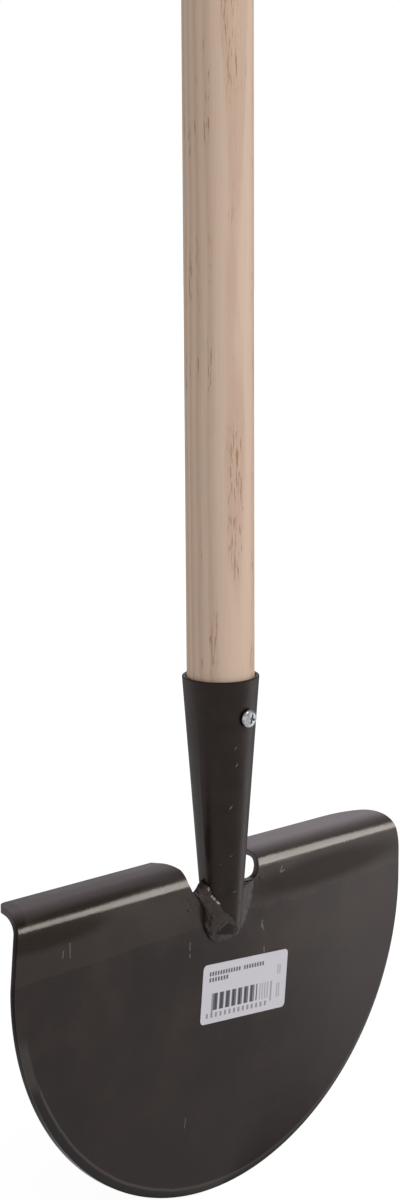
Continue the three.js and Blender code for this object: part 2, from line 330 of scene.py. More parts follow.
def lofted(rings: Sequence[Sequence[Vector]]) -> Mesh:
    """Stretches a closed skin over rings of points and closes both ends.

    Args:
        rings: the rings, each with the same number of points in the same order.

    Returns:
        The closed shape.
    """
    bm = bmesh.new()
    verts = [bm.verts.new(point) for point in rings[0]]
    edges = [bm.edges.new((verts[index - 1], verts[index])) for index in range(len(verts))]
    bmesh.ops.contextual_create(bm, geom=edges)
    for ring in rings[1:]:
        grown = bmesh.ops.extrude_edge_only(bm, edges=edges)["geom"]
        fresh = set(only(grown, bmesh.types.BMVert))
        verts = [next(edge.other_vert(vert) for edge in vert.link_edges if edge.other_vert(vert) in fresh)
                 for vert in verts]
        for vert, point in zip(verts, ring):
            vert.co = point
        edges = only(grown, bmesh.types.BMEdge)
    bmesh.ops.contextual_create(bm, geom=edges)
    bmesh.ops.triangulate(bm, faces=[face for face in bm.faces if len(face.verts) > 4])
    bmesh.ops.recalc_face_normals(bm, faces=bm.faces)
    return bm


def remeshed(bm: Mesh, grain: float, rounds: int) -> Mesh:
    """Melts overlapping shapes into one even skin.

    Args:
        bm: the shapes, which are freed.
        grain: the size of the new faces.
        rounds: how often the skin is smoothed.

    Returns:
        The skin.
    """
    work = shown("work", stored("work", bm))
    modifier = work.modifiers.new("melt", "REMESH")
    modifier.mode = "VOXEL"
    modifier.voxel_size = grain
    skin = finished(work)
    for _ in range(rounds):
        bmesh.ops.smooth_vert(skin, verts=skin.verts, factor=0.5, use_axis_x=True, use_axis_y=True, use_axis_z=True)
    return skin


def roughen(bm: Mesh, coarse: Pair, fine: Pair) -> None:
    """Moves the skin in and out by two layers of noise.

    Args:
        bm: the mesh.
        coarse: the broad layer's depth and its bumps per metre.
        fine: the narrow layer's depth and its bumps per metre.
    """
    bm.normal_update()
    moves = [(vert, vert.normal.copy(), sum(depth * noise.noise(vert.co * scale) for depth, scale in (coarse, fine)))
             for vert in bm.verts]
    for vert, normal, depth in moves:
        vert.co += normal * depth


def merged(shapes: Iterable[Mesh]) -> Mesh:
    """Collects several shapes in one mesh.

    Args:
        shapes: the shapes, which are freed.

    Returns:
        The mesh that holds them all.
    """
    whole = bmesh.new()
    for shape in shapes:
        mesh = stored("work", shape)
        whole.from_mesh(mesh)
        bpy.data.meshes.remove(mesh)
    return whole


def put(name: str, bm: Mesh, finish: bpy.types.Material, node: str) -> None:
    """Places a finished piece in the part's frame, instead of its CAD node.

    Args:
        name: the piece's name.
        bm: its mesh, which is freed.
        finish: its material.
        node: the CAD node that it stands for.
    """
    for face in bm.faces:
        face.smooth = True
    mesh = stored(name, bm)
    mesh.materials.append(finish)
    piece = shown(name, mesh)
    even = piece.modifiers.new("even_normals", "WEIGHTED_NORMAL")
    even.keep_sharp = False
    even.weight = 100
    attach(piece, BODY)
    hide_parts(node)
    LOG.info("%s: %d faces", name, len(mesh.polygons))


# Node trees.
class Graph:
    """Adds nodes and links to one shader node tree."""

    def __init__(self, tree: bpy.types.NodeTree) -> None:
        """Takes the tree to fill."""
        self.tree = tree

    def feed(self, wanted: Output, value: object) -> None:
        """Links a socket to an input, or sets the input's own value.

        Args:
            wanted: the input.
            value: the socket or the value.
        """
        if isinstance(value, Output):
            self.tree.links.new(value, wanted)
        else:
            wanted.default_value = value

    def node(self, kind: str, inputs: dict | None = None, **settings: object) -> bpy.types.Node:
        """Adds one node.

        Args:
            kind: the node's type name.
            inputs: a socket to link or a value to set, by socket name or number.
            settings: properties of the node.

        Returns:
            The new node.
        """
        made = self.tree.nodes.new(kind)
        for name, value in settings.items():
            setattr(made, name, value)
        for key, value in (inputs or {}).items():
            self.feed(made.inputs[key], value)
        return made

    def use(self, group: bpy.types.NodeTree, inputs: dict) -> Sequence[Output]:
        """Places a node group and gives its outputs."""
        return self.node("ShaderNodeGroup", inputs, node_tree=group).outputs

    def math(self, operation: str, *values: object, clamp: bool = False) -> Output:
        """Works out one operation on sockets or numbers."""
        return self.node("ShaderNodeMath", dict(enumerate(values)), operation=operation, use_clamp=clamp).outputs[0]

    def times(self, first: object, second: object) -> Output:
        """Multiplies two values."""
        return self.math("MULTIPLY", first, second)

    def plus(self, first: object, second: object) -> Output:
        """Adds two values."""
        return self.math("ADD", first, second)

    def plus_share(self, base: object, mask: object, share: object) -> Output:
        """Adds a share of a mask to a value."""
        return self.math("MULTIPLY_ADD", mask, share, base)

    def rest(self, share: object) -> Output:
        """Gives what a share leaves of 1."""
        return self.math("SUBTRACT", 1.0, share)

    def vector(self, operation: str, *values: object) -> Output:
        """Works out one operation on vectors.

        Args:
            operation: the Vector Math node's operation.
            values: its operands, sockets or vectors.

        Returns:
            The result's socket, the number for a dot product, length or distance.
        """
        made = self.node("ShaderNodeVectorMath", dict(enumerate(values)), operation=operation)
        plain = operation in ("DOT_PRODUCT", "LENGTH", "DISTANCE")
        return made.outputs["Value" if plain else "Vector"]

    def scaled(self, vector: Output, scale: Point) -> Output:
        """Stretches a vector by a factor along each axis."""
        return self.vector("MULTIPLY", vector, scale)

    def split(self, vector: Output) -> Sequence[Output]:
        """Gives a vector's three parts."""
        return self.node("ShaderNodeSeparateXYZ", {0: vector}).outputs

    def cloud(self, vector: Output, scale: object, detail: float = 3.0, rough: float = 0.5) -> Output:
        """Adds a noise texture.

        Args:
            vector: where it is read.
            scale: features per metre.
            detail: octaves.
            rough: how strong the finer octaves are.

        Returns:
            Its value's socket, from 0 to 1 round 0.5.
        """
        inputs = {"Vector": vector, "Scale": scale, "Detail": detail, "Roughness": rough}
        return self.node("ShaderNodeTexNoise", inputs).outputs[0]

    def step(self, value: object, low: object, high: object) -> Output:
        """Rises smoothly from 0 to 1.

        Args:
            value: what is compared.
            low: the value that gives 0.
            high: the value that gives 1.

        Returns:
            The mask's socket.
        """
        inputs = {"Value": value, "From Min": low, "From Max": high}
        return self.node("ShaderNodeMapRange", inputs, interpolation_type="SMOOTHSTEP").outputs[0]

    def spread(self, value: object, low: object, high: object) -> Output:
        """Maps a mask to the numbers from low to high."""
        return self.node("ShaderNodeMapRange", {"Value": value, "To Min": low, "To Max": high}).outputs[0]

    def blend(self, share: object, first: object, second: object, mode: str = "MIX") -> Output:
        """Mixes two colours.

        Args:
            share: how much of the second colour shows.
            first: the first colour, or its socket.
            second: the second colour, or its socket.
            mode: the blend type.

        Returns:
            The mixed colour's socket.
        """
        ends = [(*c, 1.0) if isinstance(c, tuple) and len(c) == 3 else c for c in (first, second)]
        inputs = {0: share, 6: ends[0], 7: ends[1]}
        return self.node("ShaderNodeMix", inputs, data_type="RGBA", blend_type=mode).outputs[2]

    def shaded(self, colour: object, level: Output) -> Output:
        """Multiplies a colour by a level."""
        grey = self.node("ShaderNodeCombineColor", {0: level, 1: level, 2: level}).outputs[0]
        return self.blend(1.0, colour, grey, "MULTIPLY")

    def bump(self, height: Output, distance: float) -> Output:
        """Turns a height into a normal, with the depth of a height of 1."""
        return self.node("ShaderNodeBump", {"Height": height, "Distance": distance, "Strength": 1.0}).outputs[0]


class Group(Graph):
    """A shader node group while it is built."""

    def __init__(self, name: str) -> None:
        """Starts an empty group.

        Args:
            name: the group's name.
        """
        super().__init__(bpy.data.node_groups.new(name, "ShaderNodeTree"))
        self.entry = self.tree.nodes.new("NodeGroupInput")
        self.exit = self.tree.nodes.new("NodeGroupOutput")

    def takes(self, name: str, kind: Kind = Kind.NUMBER) -> Output:
        """Adds an input and gives the socket to read it from."""
        self.tree.interface.new_socket(name=name, in_out="INPUT", socket_type=kind.value)
        return self.entry.outputs[name]

    def gives(self, name: str, value: Output) -> None:
        """Adds a number as an output."""
        self.tree.interface.new_socket(name=name, in_out="OUTPUT", socket_type=Kind.NUMBER.value)
        self.tree.links.new(value, self.exit.inputs[name])


def mottle_group() -> bpy.types.NodeTree:
    """Builds the uneven film that lacquer leaves on rolled steel.

    Returns:
        A group that gives a cloudy mask, fine pale specks and a height.
    """
    group = Group("lacquer_mottle")
    place = group.takes("Vector", Kind.VECTOR)
    cloud = group.cloud(place, group.takes("Patch Scale"), detail=5.0, rough=0.62)
    grit = group.cloud(place, group.takes("Grit Scale"), detail=2.0, rough=0.5)
    group.gives("Mottle", group.step(cloud, 0.36, 0.66))
    group.gives("Speck", group.step(grit, 0.71, 0.78))
    group.gives("Height", group.plus_share(cloud, grit, 0.25))
    return group.tree


def grain_group() -> bpy.types.NodeTree:
    """Builds ash wood: growth rings round a leaning pith, with dashes of open pores in some of them.

    Returns:
        A group that gives the ring's dark band, the pores, the fibres and a slow tint.
    """
    group = Group("ash_grain")
    place = group.takes("Vector", Kind.VECTOR)
    pith = group.takes("Pith", Kind.VECTOR)
    spacing = group.takes("Ring Spacing")
    lean = group.takes("Lean")

    def streaks(stretch: float, scale: float, rough: float, detail: float = 2.0) -> Output:
        """Gives noise that is drawn out along the fibres."""
        return group.cloud(group.scaled(place, (1.0, 1.0, stretch)), scale, detail, rough)

    across, aside, along = group.split(place)
    flat = group.node("ShaderNodeCombineXYZ", {0: across, 1: aside, 2: 0.0}).outputs[0]
    reach = group.plus(group.vector("DISTANCE", flat, pith), group.times(along, lean))
    reach = group.plus_share(reach, streaks(0.16, 42.0, 0.45), 0.0042)
    reach = group.plus_share(reach, streaks(0.10, 260.0, 0.5), 0.0006)
    phase = group.math("FRACT", group.math("DIVIDE", reach, spacing))
    early = group.times(group.step(phase, 0.0, 0.14), group.rest(group.step(phase, 0.2, 0.8)))
    dash = streaks(0.09, 1500.0, 0.55)
    crowd = group.step(streaks(0.35, 95.0, 0.5), 0.47, 0.62)
    porous = group.times(group.step(dash, 0.55, 0.66), crowd)
    stray = group.times(group.step(dash, 0.67, 0.75), 0.4)
    group.gives("Ring", early)
    group.gives("Pores", group.times(group.math("MAXIMUM", porous, stray), group.step(early, 0.15, 0.7)))
    group.gives("Fibre", streaks(0.02, 1300.0, 0.6, detail=3.0))
    group.gives("Tint", streaks(0.12, 60.0, 0.5))
    return group.tree


def surround_group() -> bpy.types.NodeTree:
    """Builds the studio's fall-off: full light ahead of the tool and at its left, dimmer behind it at the right.

    Returns:
        A group that gives the share of light from the direction of a vector.
    """
    bright_side, dimmest = (-0.766, -0.643, 0.0), 0.25
    group = Group("surround")
    level = group.vector("NORMALIZE", group.scaled(group.takes("Vector", Kind.VECTOR), (1.0, 1.0, 0.0)))
    facing = group.vector("DOT_PRODUCT", level, bright_side)
    group.gives("Level", group.spread(group.step(facing, -0.9, -0.15), dimmest, 1.0))
    return group.tree


def scratch_group() -> bpy.types.NodeTree:
    """Builds one straight scratch with a broken edge, from its start along its run.

    Returns:
        A group that gives the scratch's mask.
    """
    group = Group("scratch")
    place = group.takes("Vector", Kind.VECTOR)
    start = group.takes("Start", Kind.VECTOR)
    run = group.takes("Run", Kind.VECTOR)
    width = group.takes("Width")
    offset = group.vector("SUBTRACT", place, start)
    along, whole = group.vector("DOT_PRODUCT", offset, run), group.vector("DOT_PRODUCT", run, run)
    share = group.math("DIVIDE", along, whole, clamp=True)
    nearest = group.node("ShaderNodeVectorMath", {0: run, "Scale": share}, operation="SCALE").outputs[0]
    gap = group.vector("DISTANCE", offset, nearest)
    broken = group.cloud(place, 2600.0, detail=2.0, rough=0.6)
    edge = group.times(width, group.spread(broken, 0.2, 1.6))
    group.gives("Mask", group.rest(group.step(gap, group.times(edge, 0.35), edge)))
    return group.tree


@dataclass(frozen=True)
class Effects:
    """The node groups that more than one finish uses."""

    mottle: bpy.types.NodeTree = field(default_factory=mottle_group)
    grain: bpy.types.NodeTree = field(default_factory=grain_group)
    scratch: bpy.types.NodeTree = field(default_factory=scratch_group)
    surround: bpy.types.NodeTree = field(default_factory=surround_group)


class Material(Graph):
    """A material with one Principled BSDF, read at each point's place in the part's own frame."""

    def __init__(self, name: str) -> None:
        """Starts the material.

        Args:
            name: its name.
        """
        self.made = bpy.data.materials.new(name)
        self.made.use_nodes = True
        super().__init__(self.made.node_tree)
        self.shader = self.tree.nodes["Principled BSDF"]
        self.spot = self.node("ShaderNodeTexCoord").outputs["Object"]

    def film(self, effects: Effects, patch_scale: float, grit_scale: float) -> Sequence[Output]:
        """Lays the mottled film and gives its outputs."""
        inputs = {"Vector": self.spot, "Patch Scale": patch_scale, "Grit Scale": grit_scale}
        return self.use(effects.mottle, inputs)

    def set(self, **inputs: object) -> None:
        """Sets or links the shader's inputs.

        Args:
            inputs: a socket or a value by input name, with _ for a space.
        """
        for key, value in inputs.items():
            wanted = self.shader.inputs[key.replace("_", " ")]
            self.feed(wanted, (*value, 1.0) if isinstance(value, tuple) else value)


# Finishes.
@dataclass(frozen=True)
class Mark:
    """A short bare line on the tool's front, by its middle, length, lean from upright and slant in depth."""

    x: float
    z: float
    length: float
    lean: float = 0.0
    width: float = 0.00028
    y: float = 0.0
    slant: float = 0.0

    def mask(self, material: Material, effects: Effects) -> Output:
        """Draws the mark.

        Args:
            material: the material that it is drawn in.
            effects: the shared node groups.

        Returns:
            Its mask.
        """
        run = Vector((math.sin(self.lean), self.slant, math.cos(self.lean))) * self.length
        start = Vector((self.x, self.y, self.z)) - run / 2
        inputs = {"Vector": material.spot, "Start": tuple(start), "Run": tuple(run), "Width": self.width}
        return material.use(effects.scratch, inputs)[0]


@dataclass(frozen=True)
class Tidemark:
    """The wavy line where a thicker coat of lacquer ends, and how much it waves left and right of the middle."""

    height: float
    calm: float
    wavy: float
    middle: Pair = (-0.01, 0.02)
    softness: float = 0.0006
    waves: float = 45.0

    def coat(self, material: Material) -> Output:
        """Draws the thicker coat above the line.

        Args:
            material: the material that it is drawn in.

        Returns:
            Its mask.
        """
        across, _, height = material.split(material.spot)
        swing = material.spread(material.step(across, *self.middle), self.calm, self.wavy)
        wave = material.math("SUBTRACT", material.cloud(material.spot, self.waves, detail=4.0, rough=0.6), 0.5)
        height = material.plus_share(height, wave, swing)
        return material.step(height, self.height - self.softness, self.height + self.softness)


@dataclass(frozen=True)
class PaintedGroundBand:
    """Painted light on the ground face: painted shade at the lower left and a painted highlight elsewhere, with a
    paler painted highlight along its inner line.
    """

    centre: Point
    half_width: float
    drop: float
    wave: float = 0.010
    waves: float = 90.0
    top: Pair = (0.100, 0.090)
    pale_above: Pair = (0.070, 0.078)
    pale_beyond: Pair = (-0.045, 0.005)
    # Painted shade at the lower left, a painted highlight elsewhere, and the inner line's paler painted highlight.
    dark: Colour = (0.0012, 0.0010, 0.0010)
    pale: Colour = (0.034, 0.032, 0.028)
    line: Colour = (0.052, 0.047, 0.043)
    highlight_width: Pair = (0.002, 0.008)
    face_edge: Pair = (0.997, 1.004)
    side_edge: Pair = (1.0, 1.01)
    side_depth: Pair = (0.0002, 0.0007)
    side_shine: float = 0.15

    def _reach(self, material: Material) -> Output:
        """Measures how far out a point lies.

        Args:
            material: the material that the band is drawn in.

        Returns:
            1 on the band's wavy inner line and more outside it.
        """
        offset = material.vector("SUBTRACT", material.spot, self.centre)
        reach = material.vector("LENGTH", material.scaled(offset, (1 / self.half_width, 0.0, 1 / self.drop)))
        wave = material.cloud(material.spot, self.waves, detail=3.0, rough=0.6)
        return material.plus_share(material.plus(reach, self.wave / 2), wave, -self.wave)

    def shine(self, material: Material) -> Output:
        """Dims the sheet's cut side.

        Args:
            material: the material that the band is drawn in.

        Returns:
            The share of shine that is kept, 1 off the cut side.
        """
        depth = material.split(material.spot)[1]
        side = material.times(material.step(depth, *self.side_depth),
                              material.step(self._reach(material), *self.side_edge))
        return material.spread(side, 1.0, self.side_shine)

    def over(self, material: Material, colour: Output) -> Output:
        """Lays the band's painted shade and highlight, and its inner painted highlight, over the film.

        Args:
            material: the material that the band is drawn in.
            colour: the film's colour.

        Returns:
            The colour with the band.
        """
        reach = self._reach(material)
        across, _, height = material.split(material.spot)
        high = material.step(height, *self.pale_above)
        pale = material.math("MAXIMUM", high, material.step(across, *self.pale_beyond))
        face = material.times(material.step(reach, *self.face_edge), material.step(height, *self.top))
        # Painted shade at the lower left, painted highlight elsewhere.
        colour = material.blend(face, colour, material.blend(pale, self.dark, self.pale))
        # The inner line's painted highlight.
        gap = material.math("ABSOLUTE", material.math("SUBTRACT", reach, 1.0))
        inner = material.times(material.rest(material.step(gap, *self.highlight_width)), material.rest(high))
        return material.blend(inner, colour, self.line)


@dataclass(frozen=True)
class PaintedShadePatch:
    """A soft patch of painted shade, where the film shines less as if it reflected something dark: its middle, its
    half lengths and how much of the shine it takes.
    """

    centre: Point
    reach: Point
    share: float
    full_share: float = 0.4

    def shine(self, material: Material) -> Output:
        """Dims the patch.

        Args:
            material: the material that it is drawn in.

        Returns:
            The share of shine that is kept, 1 outside the patch.
        """
        offset = material.vector("SUBTRACT", material.spot, self.centre)
        far = material.vector("LENGTH", material.scaled(offset, tuple(1 / length for length in self.reach)))
        return material.spread(material.step(far, self.full_share, 1.0), 1 - self.share, 1.0)


@dataclass(frozen=True)
class LacquerFinish:
    """Brown-black lacquer over rolled steel, cloudy and slightly rippled."""

    name: str
    dark: Colour = (0.0058, 0.0030, 0.0022)
    warm: Colour = (0.0150, 0.0088, 0.0062)
    thick: Colour = (0.0205, 0.0140, 0.0098)
    bare: Colour = (0.15, 0.14, 0.125)
    # Painted sheen: a grey-purple coat on the treads' tops stands in for the sheen of overhead light, growing from the
    # bend to the tops and stronger at the right.
    tread_sheen: Colour = (0.275, 0.240, 0.258)
    tread_sheen_share: Pair = (0.48, 1.0)
    tread_sheen_middle: Pair = (-0.02, 0.03)
    tread_sheen_roughness: float = 0.25
    mark_roughness: float = 0.3
    tint: Colour = (1.0, 0.85, 0.82)
    roughness: Pair = (0.14, 0.21)
    reflection: float = 0.28
    patch_scale: float = 26.0
    grit_scale: float = 900.0
    ripple_depth: float = 0.00012
    speck_share: float = 0.25
    marks: tuple[Mark, ...] = ()
    tidemark: Tidemark | None = None
    # Depths over which the treads' painted sheen grows; None leaves it out.
    tread_sheen_depth: Pair | None = None
    # Painted shade and highlights on the ground face.
    ground: PaintedGroundBand | None = None
    # Patches of painted shade, where the shine is dimmed.
    shade_patches: tuple[PaintedShadePatch, ...] = ()

    def build(self, effects: Effects) -> bpy.types.Material:
        """Builds the material.

        Args:
            effects: the shared node groups.

        Returns:
            The material.
        """
        material = Material(self.name)
        film = material.film(effects, self.patch_scale, self.grit_scale)
        colour = self._film_colour(material, film["Mottle"])
        rough = material.spread(film["Mottle"], *self.roughness)
        # Painted sheen on the treads: a paler, rougher coat where overhead light would shine.
        if self.tread_sheen_depth:
            sheen_mask = self._tread_sheen(material)
            colour = material.blend(sheen_mask, colour, self.tread_sheen)
            rough = material.plus_share(rough, sheen_mask, self.tread_sheen_roughness)
        marked = self._marked(material, effects, film["Speck"])
        colour = material.blend(marked, colour, self.bare)
        rough = material.plus_share(rough, marked, self.mark_roughness)
        normal = material.bump(film["Height"], self.ripple_depth)
        material.set(Base_Color=colour, Roughness=rough, Normal=normal, Specular_Tint=self.tint,
                     Specular_IOR_Level=self._shine(material))
        return material.made

    def _film_colour(self, material: Material, mottle: Output) -> Output:
        """Colours the film, its thicker coat and the ground band's painted shade and highlights.

        Args:
            material: the material.
            mottle: the film's cloudy mask.

        Returns:
            The colour before the painted sheen and the marks.
        """
        colour = material.blend(mottle, self.dark, self.warm)
        if self.tidemark:
            colour = material.blend(self.tidemark.coat(material), colour, self.thick)
        return self.ground.over(material, colour) if self.ground else colour

    def _tread_sheen(self, material: Material) -> Output:
        """Draws the painted sheen on the treads' tops: a grey-purple coat that stands in for the sheen of overhead
        light, stronger at the right.

        Args:
            material: the material.

        Returns:
            The painted sheen's mask.
        """
        across, depth, _ = material.split(material.spot)
        share = material.spread(material.step(across, *self.tread_sheen_middle), *self.tread_sheen_share)
        return material.times(material.step(depth, *self.tread_sheen_depth), share)

    def _marked(self, material: Material, effects: Effects, speck: Output) -> Output:
        """Draws the bare specks and marks.

        Args:
            material: the material.
            effects: the shared node groups.
            speck: the film's speck mask.

        Returns:
            The mask of both.
        """
        marked = material.times(speck, self.speck_share)
        for mark in self.marks:
            marked = material.math("MAXIMUM", marked, mark.mask(material, effects))
        return marked

    def _shine(self, material: Material) -> Output | float:
        """Gives how much the film reflects.

        Args:
            material: the material.

        Returns:
            The specular level, dimmed on the cut side and in the patches of painted shade.
        """
        shine = self.reflection
        for dimmed in (*([self.ground] if self.ground else []), *self.shade_patches):
            shine = material.times(dimmed.shine(material), shine)
        return shine


BLADE_MARKS = (
    Mark(-0.0870, 0.1268, 0.0060), Mark(-0.0908, 0.1262, 0.0026, 0.2), Mark(-0.0192, 0.1115, 0.0034, 0.1),
    Mark(-0.0193, 0.1075, 0.0016), Mark(0.0249, 0.1108, 0.0032, 0.3), Mark(0.0256, 0.1092, 0.0026, -0.35),
    Mark(0.0262, 0.0990, 0.0022, 0.0, 0.0004), Mark(-0.0230, 0.0351, 0.0044, 0.15, 0.00022),
    Mark(0.0372, 0.1322, 0.0026, 0.5, 0.0004), Mark(0.0382, 0.1312, 0.0020, 1.2, 0.0004),
    Mark(-0.0560, 0.1415, 0.0140, 1.35, 0.00016), Mark(-0.0720, 0.1400, 0.0120, 1.7, 0.00016),
    Mark(0.0790, 0.1360, 0.0022, 0.0, 0.0002), Mark(0.0810, 0.1362, 0.0020, 0.2, 0.0002),
)
# Patches of painted shade: darker reflections under the left end of the bend, below the bend at the right and on the
# bend at the left.
BLADE_SHADE_PATCHES = (
    PaintedShadePatch((-0.0980, 0.0, 0.1350), (0.0450, 0.02, 0.0065), 0.6),
    PaintedShadePatch((0.0650, 0.0, 0.1265), (0.0700, 0.02, 0.0095), 0.6),
    PaintedShadePatch((-0.0750, 0.0009, 0.1430), (0.0550, 0.003, 0.0026), 0.7),
)
SOCKET_MARKS = (
    Mark(-0.0055, 0.1703, 0.0052, 0.75, 0.0005, -0.0107), Mark(-0.0040, 0.1885, 0.0016, 0.5, 0.0004, -0.0127),
    Mark(-0.0044, 0.1490, 0.0024, 1.1, 0.0003, -0.0096), Mark(-0.0020, 0.1330, 0.0030, 1.2, 0.0003, -0.0091),
    Mark(-0.0074, 0.1455, 0.0026, 2.0, 0.0003, -0.0068), Mark(-0.0048, 0.1960, 0.0020, 0.5, 0.0003, -0.0130),
)
# Bare metal and painted glints: two pale lines along the weld's upper left seam and a pale speck beside it on the
# sheet.
WELD_MARKS_AND_GLINTS = (
    Mark(-0.0094, 0.1337, 0.0021, 3.05, 0.0008, -0.0018, -0.29),
    Mark(-0.0082, 0.1301, 0.0030, 2.63, 0.0009, -0.0043, -0.77),
    Mark(-0.0130, 0.1325, 0.0006, 1.0, 0.0005, -0.0006),
)


@dataclass(frozen=True)
class AshFinish:
    """Pale sanded ash, unvarnished."""

    name: str
    grain: Grain
    pale: Colour = (0.830, 0.630, 0.485)
    tinted: Colour = (0.745, 0.545, 0.420)
    band: Colour = (0.62, 0.425, 0.310)
    band_share: float = 0.5
    pore: Colour = (0.41, 0.225, 0.125)
    pore_share: float = 0.8
    fibre_shade: Pair = (0.93, 1.06)
    pith: Point = (0.0216, 0.0708, 0.0)
    spacing: float = 0.0038
    lean: float = 0.004
    grain_depth: float = 0.00012
    roughness: float = 0.6
    reflection: float = 0.22

    def build(self, effects: Effects) -> bpy.types.Material:
        """Builds the material.

        Args:
            effects: the shared node groups.

        Returns:
            The material.
        """
        material = Material(self.name)
        turned = material.node("ShaderNodeMapping", {"Vector": material.spot, "Rotation": self.grain.value})
        wood = material.use(effects.grain, {"Vector": turned.outputs[0], "Pith": self.pith,
                                            "Ring Spacing": self.spacing, "Lean": self.lean})
        colour = material.blend(wood["Tint"], self.pale, self.tinted)
        colour = material.blend(material.times(wood["Ring"], self.band_share), colour, self.band)
        colour = material.shaded(colour, material.spread(wood["Fibre"], *self.fibre_shade))
        colour = material.blend(material.times(wood["Pores"], self.pore_share), colour, self.pore)
        normal = material.bump(material.math("SUBTRACT", wood["Fibre"], wood["Pores"]), self.grain_depth)
        material.set(Base_Color=colour, Roughness=self.roughness, Normal=normal, Specular_IOR_Level=self.reflection)
        return material.made


@dataclass(frozen=True)
class ZincFinish:
    """Bright zinc plate, slightly cloudy."""

    name: str = "zinc_plate"
    bright: Colour = (0.52, 0.53, 0.54)
    dull: Colour = (0.30, 0.305, 0.31)
    roughness: Pair = (0.24, 0.4)
    patch_scale: float = 700.0
    grit_scale: float = 4000.0
    ripple_depth: float = 0.00003

    def build(self, effects: Effects) -> bpy.types.Material:
        """Builds the material.

        Args:
            effects: the shared node groups.

        Returns:
            The material.
        """
        material = Material(self.name)
        film = material.film(effects, self.patch_scale, self.grit_scale)
        colour = material.blend(film["Mottle"], self.bright, self.dull)
        rough = material.spread(film["Mottle"], *self.roughness)
        material.set(Base_Color=colour, Roughness=rough, Metallic=1.0,
                     Normal=material.bump(film["Height"], self.ripple_depth))
        return material.made


@dataclass(frozen=True)
class Bars:
    """Plain bars printed on the label: a box in shares of its width and height, with how many bars stand in it."""

    left: float
    bottom: float
    width: float
    height: float
    count: int = 1
    filled: float = 1.0
    strength: float = 0.6

    def mask(self, material: Material, across: Output, up: Output) -> Output:
        """Draws the bars.

        Args:
            material: the material that they are drawn in.
            across: the share of the label's width.
            up: the share of the label's height.

        Returns:
            Their mask.
        """
        along = material.math("DIVIDE", material.math("SUBTRACT", across, self.left), self.width / self.count)
        inside = material.math("LESS_THAN", material.math("FRACT", along), self.filled)
        for value, low, length in ((across, self.left, self.width), (up, self.bottom, self.height)):
            inside = material.times(inside, material.math("GREATER_THAN", value, low))
            inside = material.times(inside, material.math("LESS_THAN", value, low + length))
        return material.times(inside, self.strength)


@dataclass(frozen=True)
class PaperFinish:
    """White label paper, printed with plain bars."""

    name: str = "label_paper"
    paper: Colour = (0.75, 0.72, 0.775)
    ink: Colour = (0.045, 0.045, 0.055)
    roughness: float = 0.45
    reflection: float = 0.4
    patch_scale: float = 60.0
    grit_scale: float = 2500.0
    ripple_depth: float = 0.00004
    bars: tuple[Bars, ...] = (
        Bars(0.075, 0.80, 0.37, 0.070, count=12, filled=0.62, strength=0.9),
        Bars(0.475, 0.80, 0.25, 0.070, count=8, filled=0.62, strength=0.9),
        Bars(0.075, 0.70, 0.23, 0.070, count=7, filled=0.62, strength=0.9),
        Bars(0.135, 0.215, 0.54, 0.285, count=15, filled=0.40, strength=0.9),
        Bars(0.150, 0.215, 0.50, 0.285, count=7, filled=0.30, strength=1.0),
        Bars(0.680, 0.215, 0.12, 0.285, count=4, filled=0.45, strength=0.4),
        Bars(0.115, 0.155, 0.02, 0.345, strength=0.6), Bars(0.810, 0.155, 0.02, 0.345, strength=0.5),
        Bars(0.06, 0.095, 0.74, 0.080, count=14, filled=0.45, strength=0.6),
        Bars(0.885, 0.20, 0.05, 0.24, count=2, filled=0.55, strength=0.4),
        Bars(0.885, 0.60, 0.05, 0.16, count=2, filled=0.55, strength=0.4),
    )

    def build(self, effects: Effects) -> bpy.types.Material:
        """Builds the material.

        Args:
            effects: the shared node groups.

        Returns:
            The material.
        """
        material = Material(self.name)
        film = material.film(effects, self.patch_scale, self.grit_scale)
        across, up, _ = material.split(material.node("ShaderNodeUVMap", uv_map="label").outputs[0])
        printed = 0.0
        for bars in self.bars:
            printed = material.math("MAXIMUM", printed, bars.mask(material, across, up))
        material.set(Base_Color=material.blend(printed, self.paper, self.ink), Roughness=self.roughness,
                     Normal=material.bump(film["Height"], self.ripple_depth), Specular_IOR_Level=self.reflection)
        return material.made


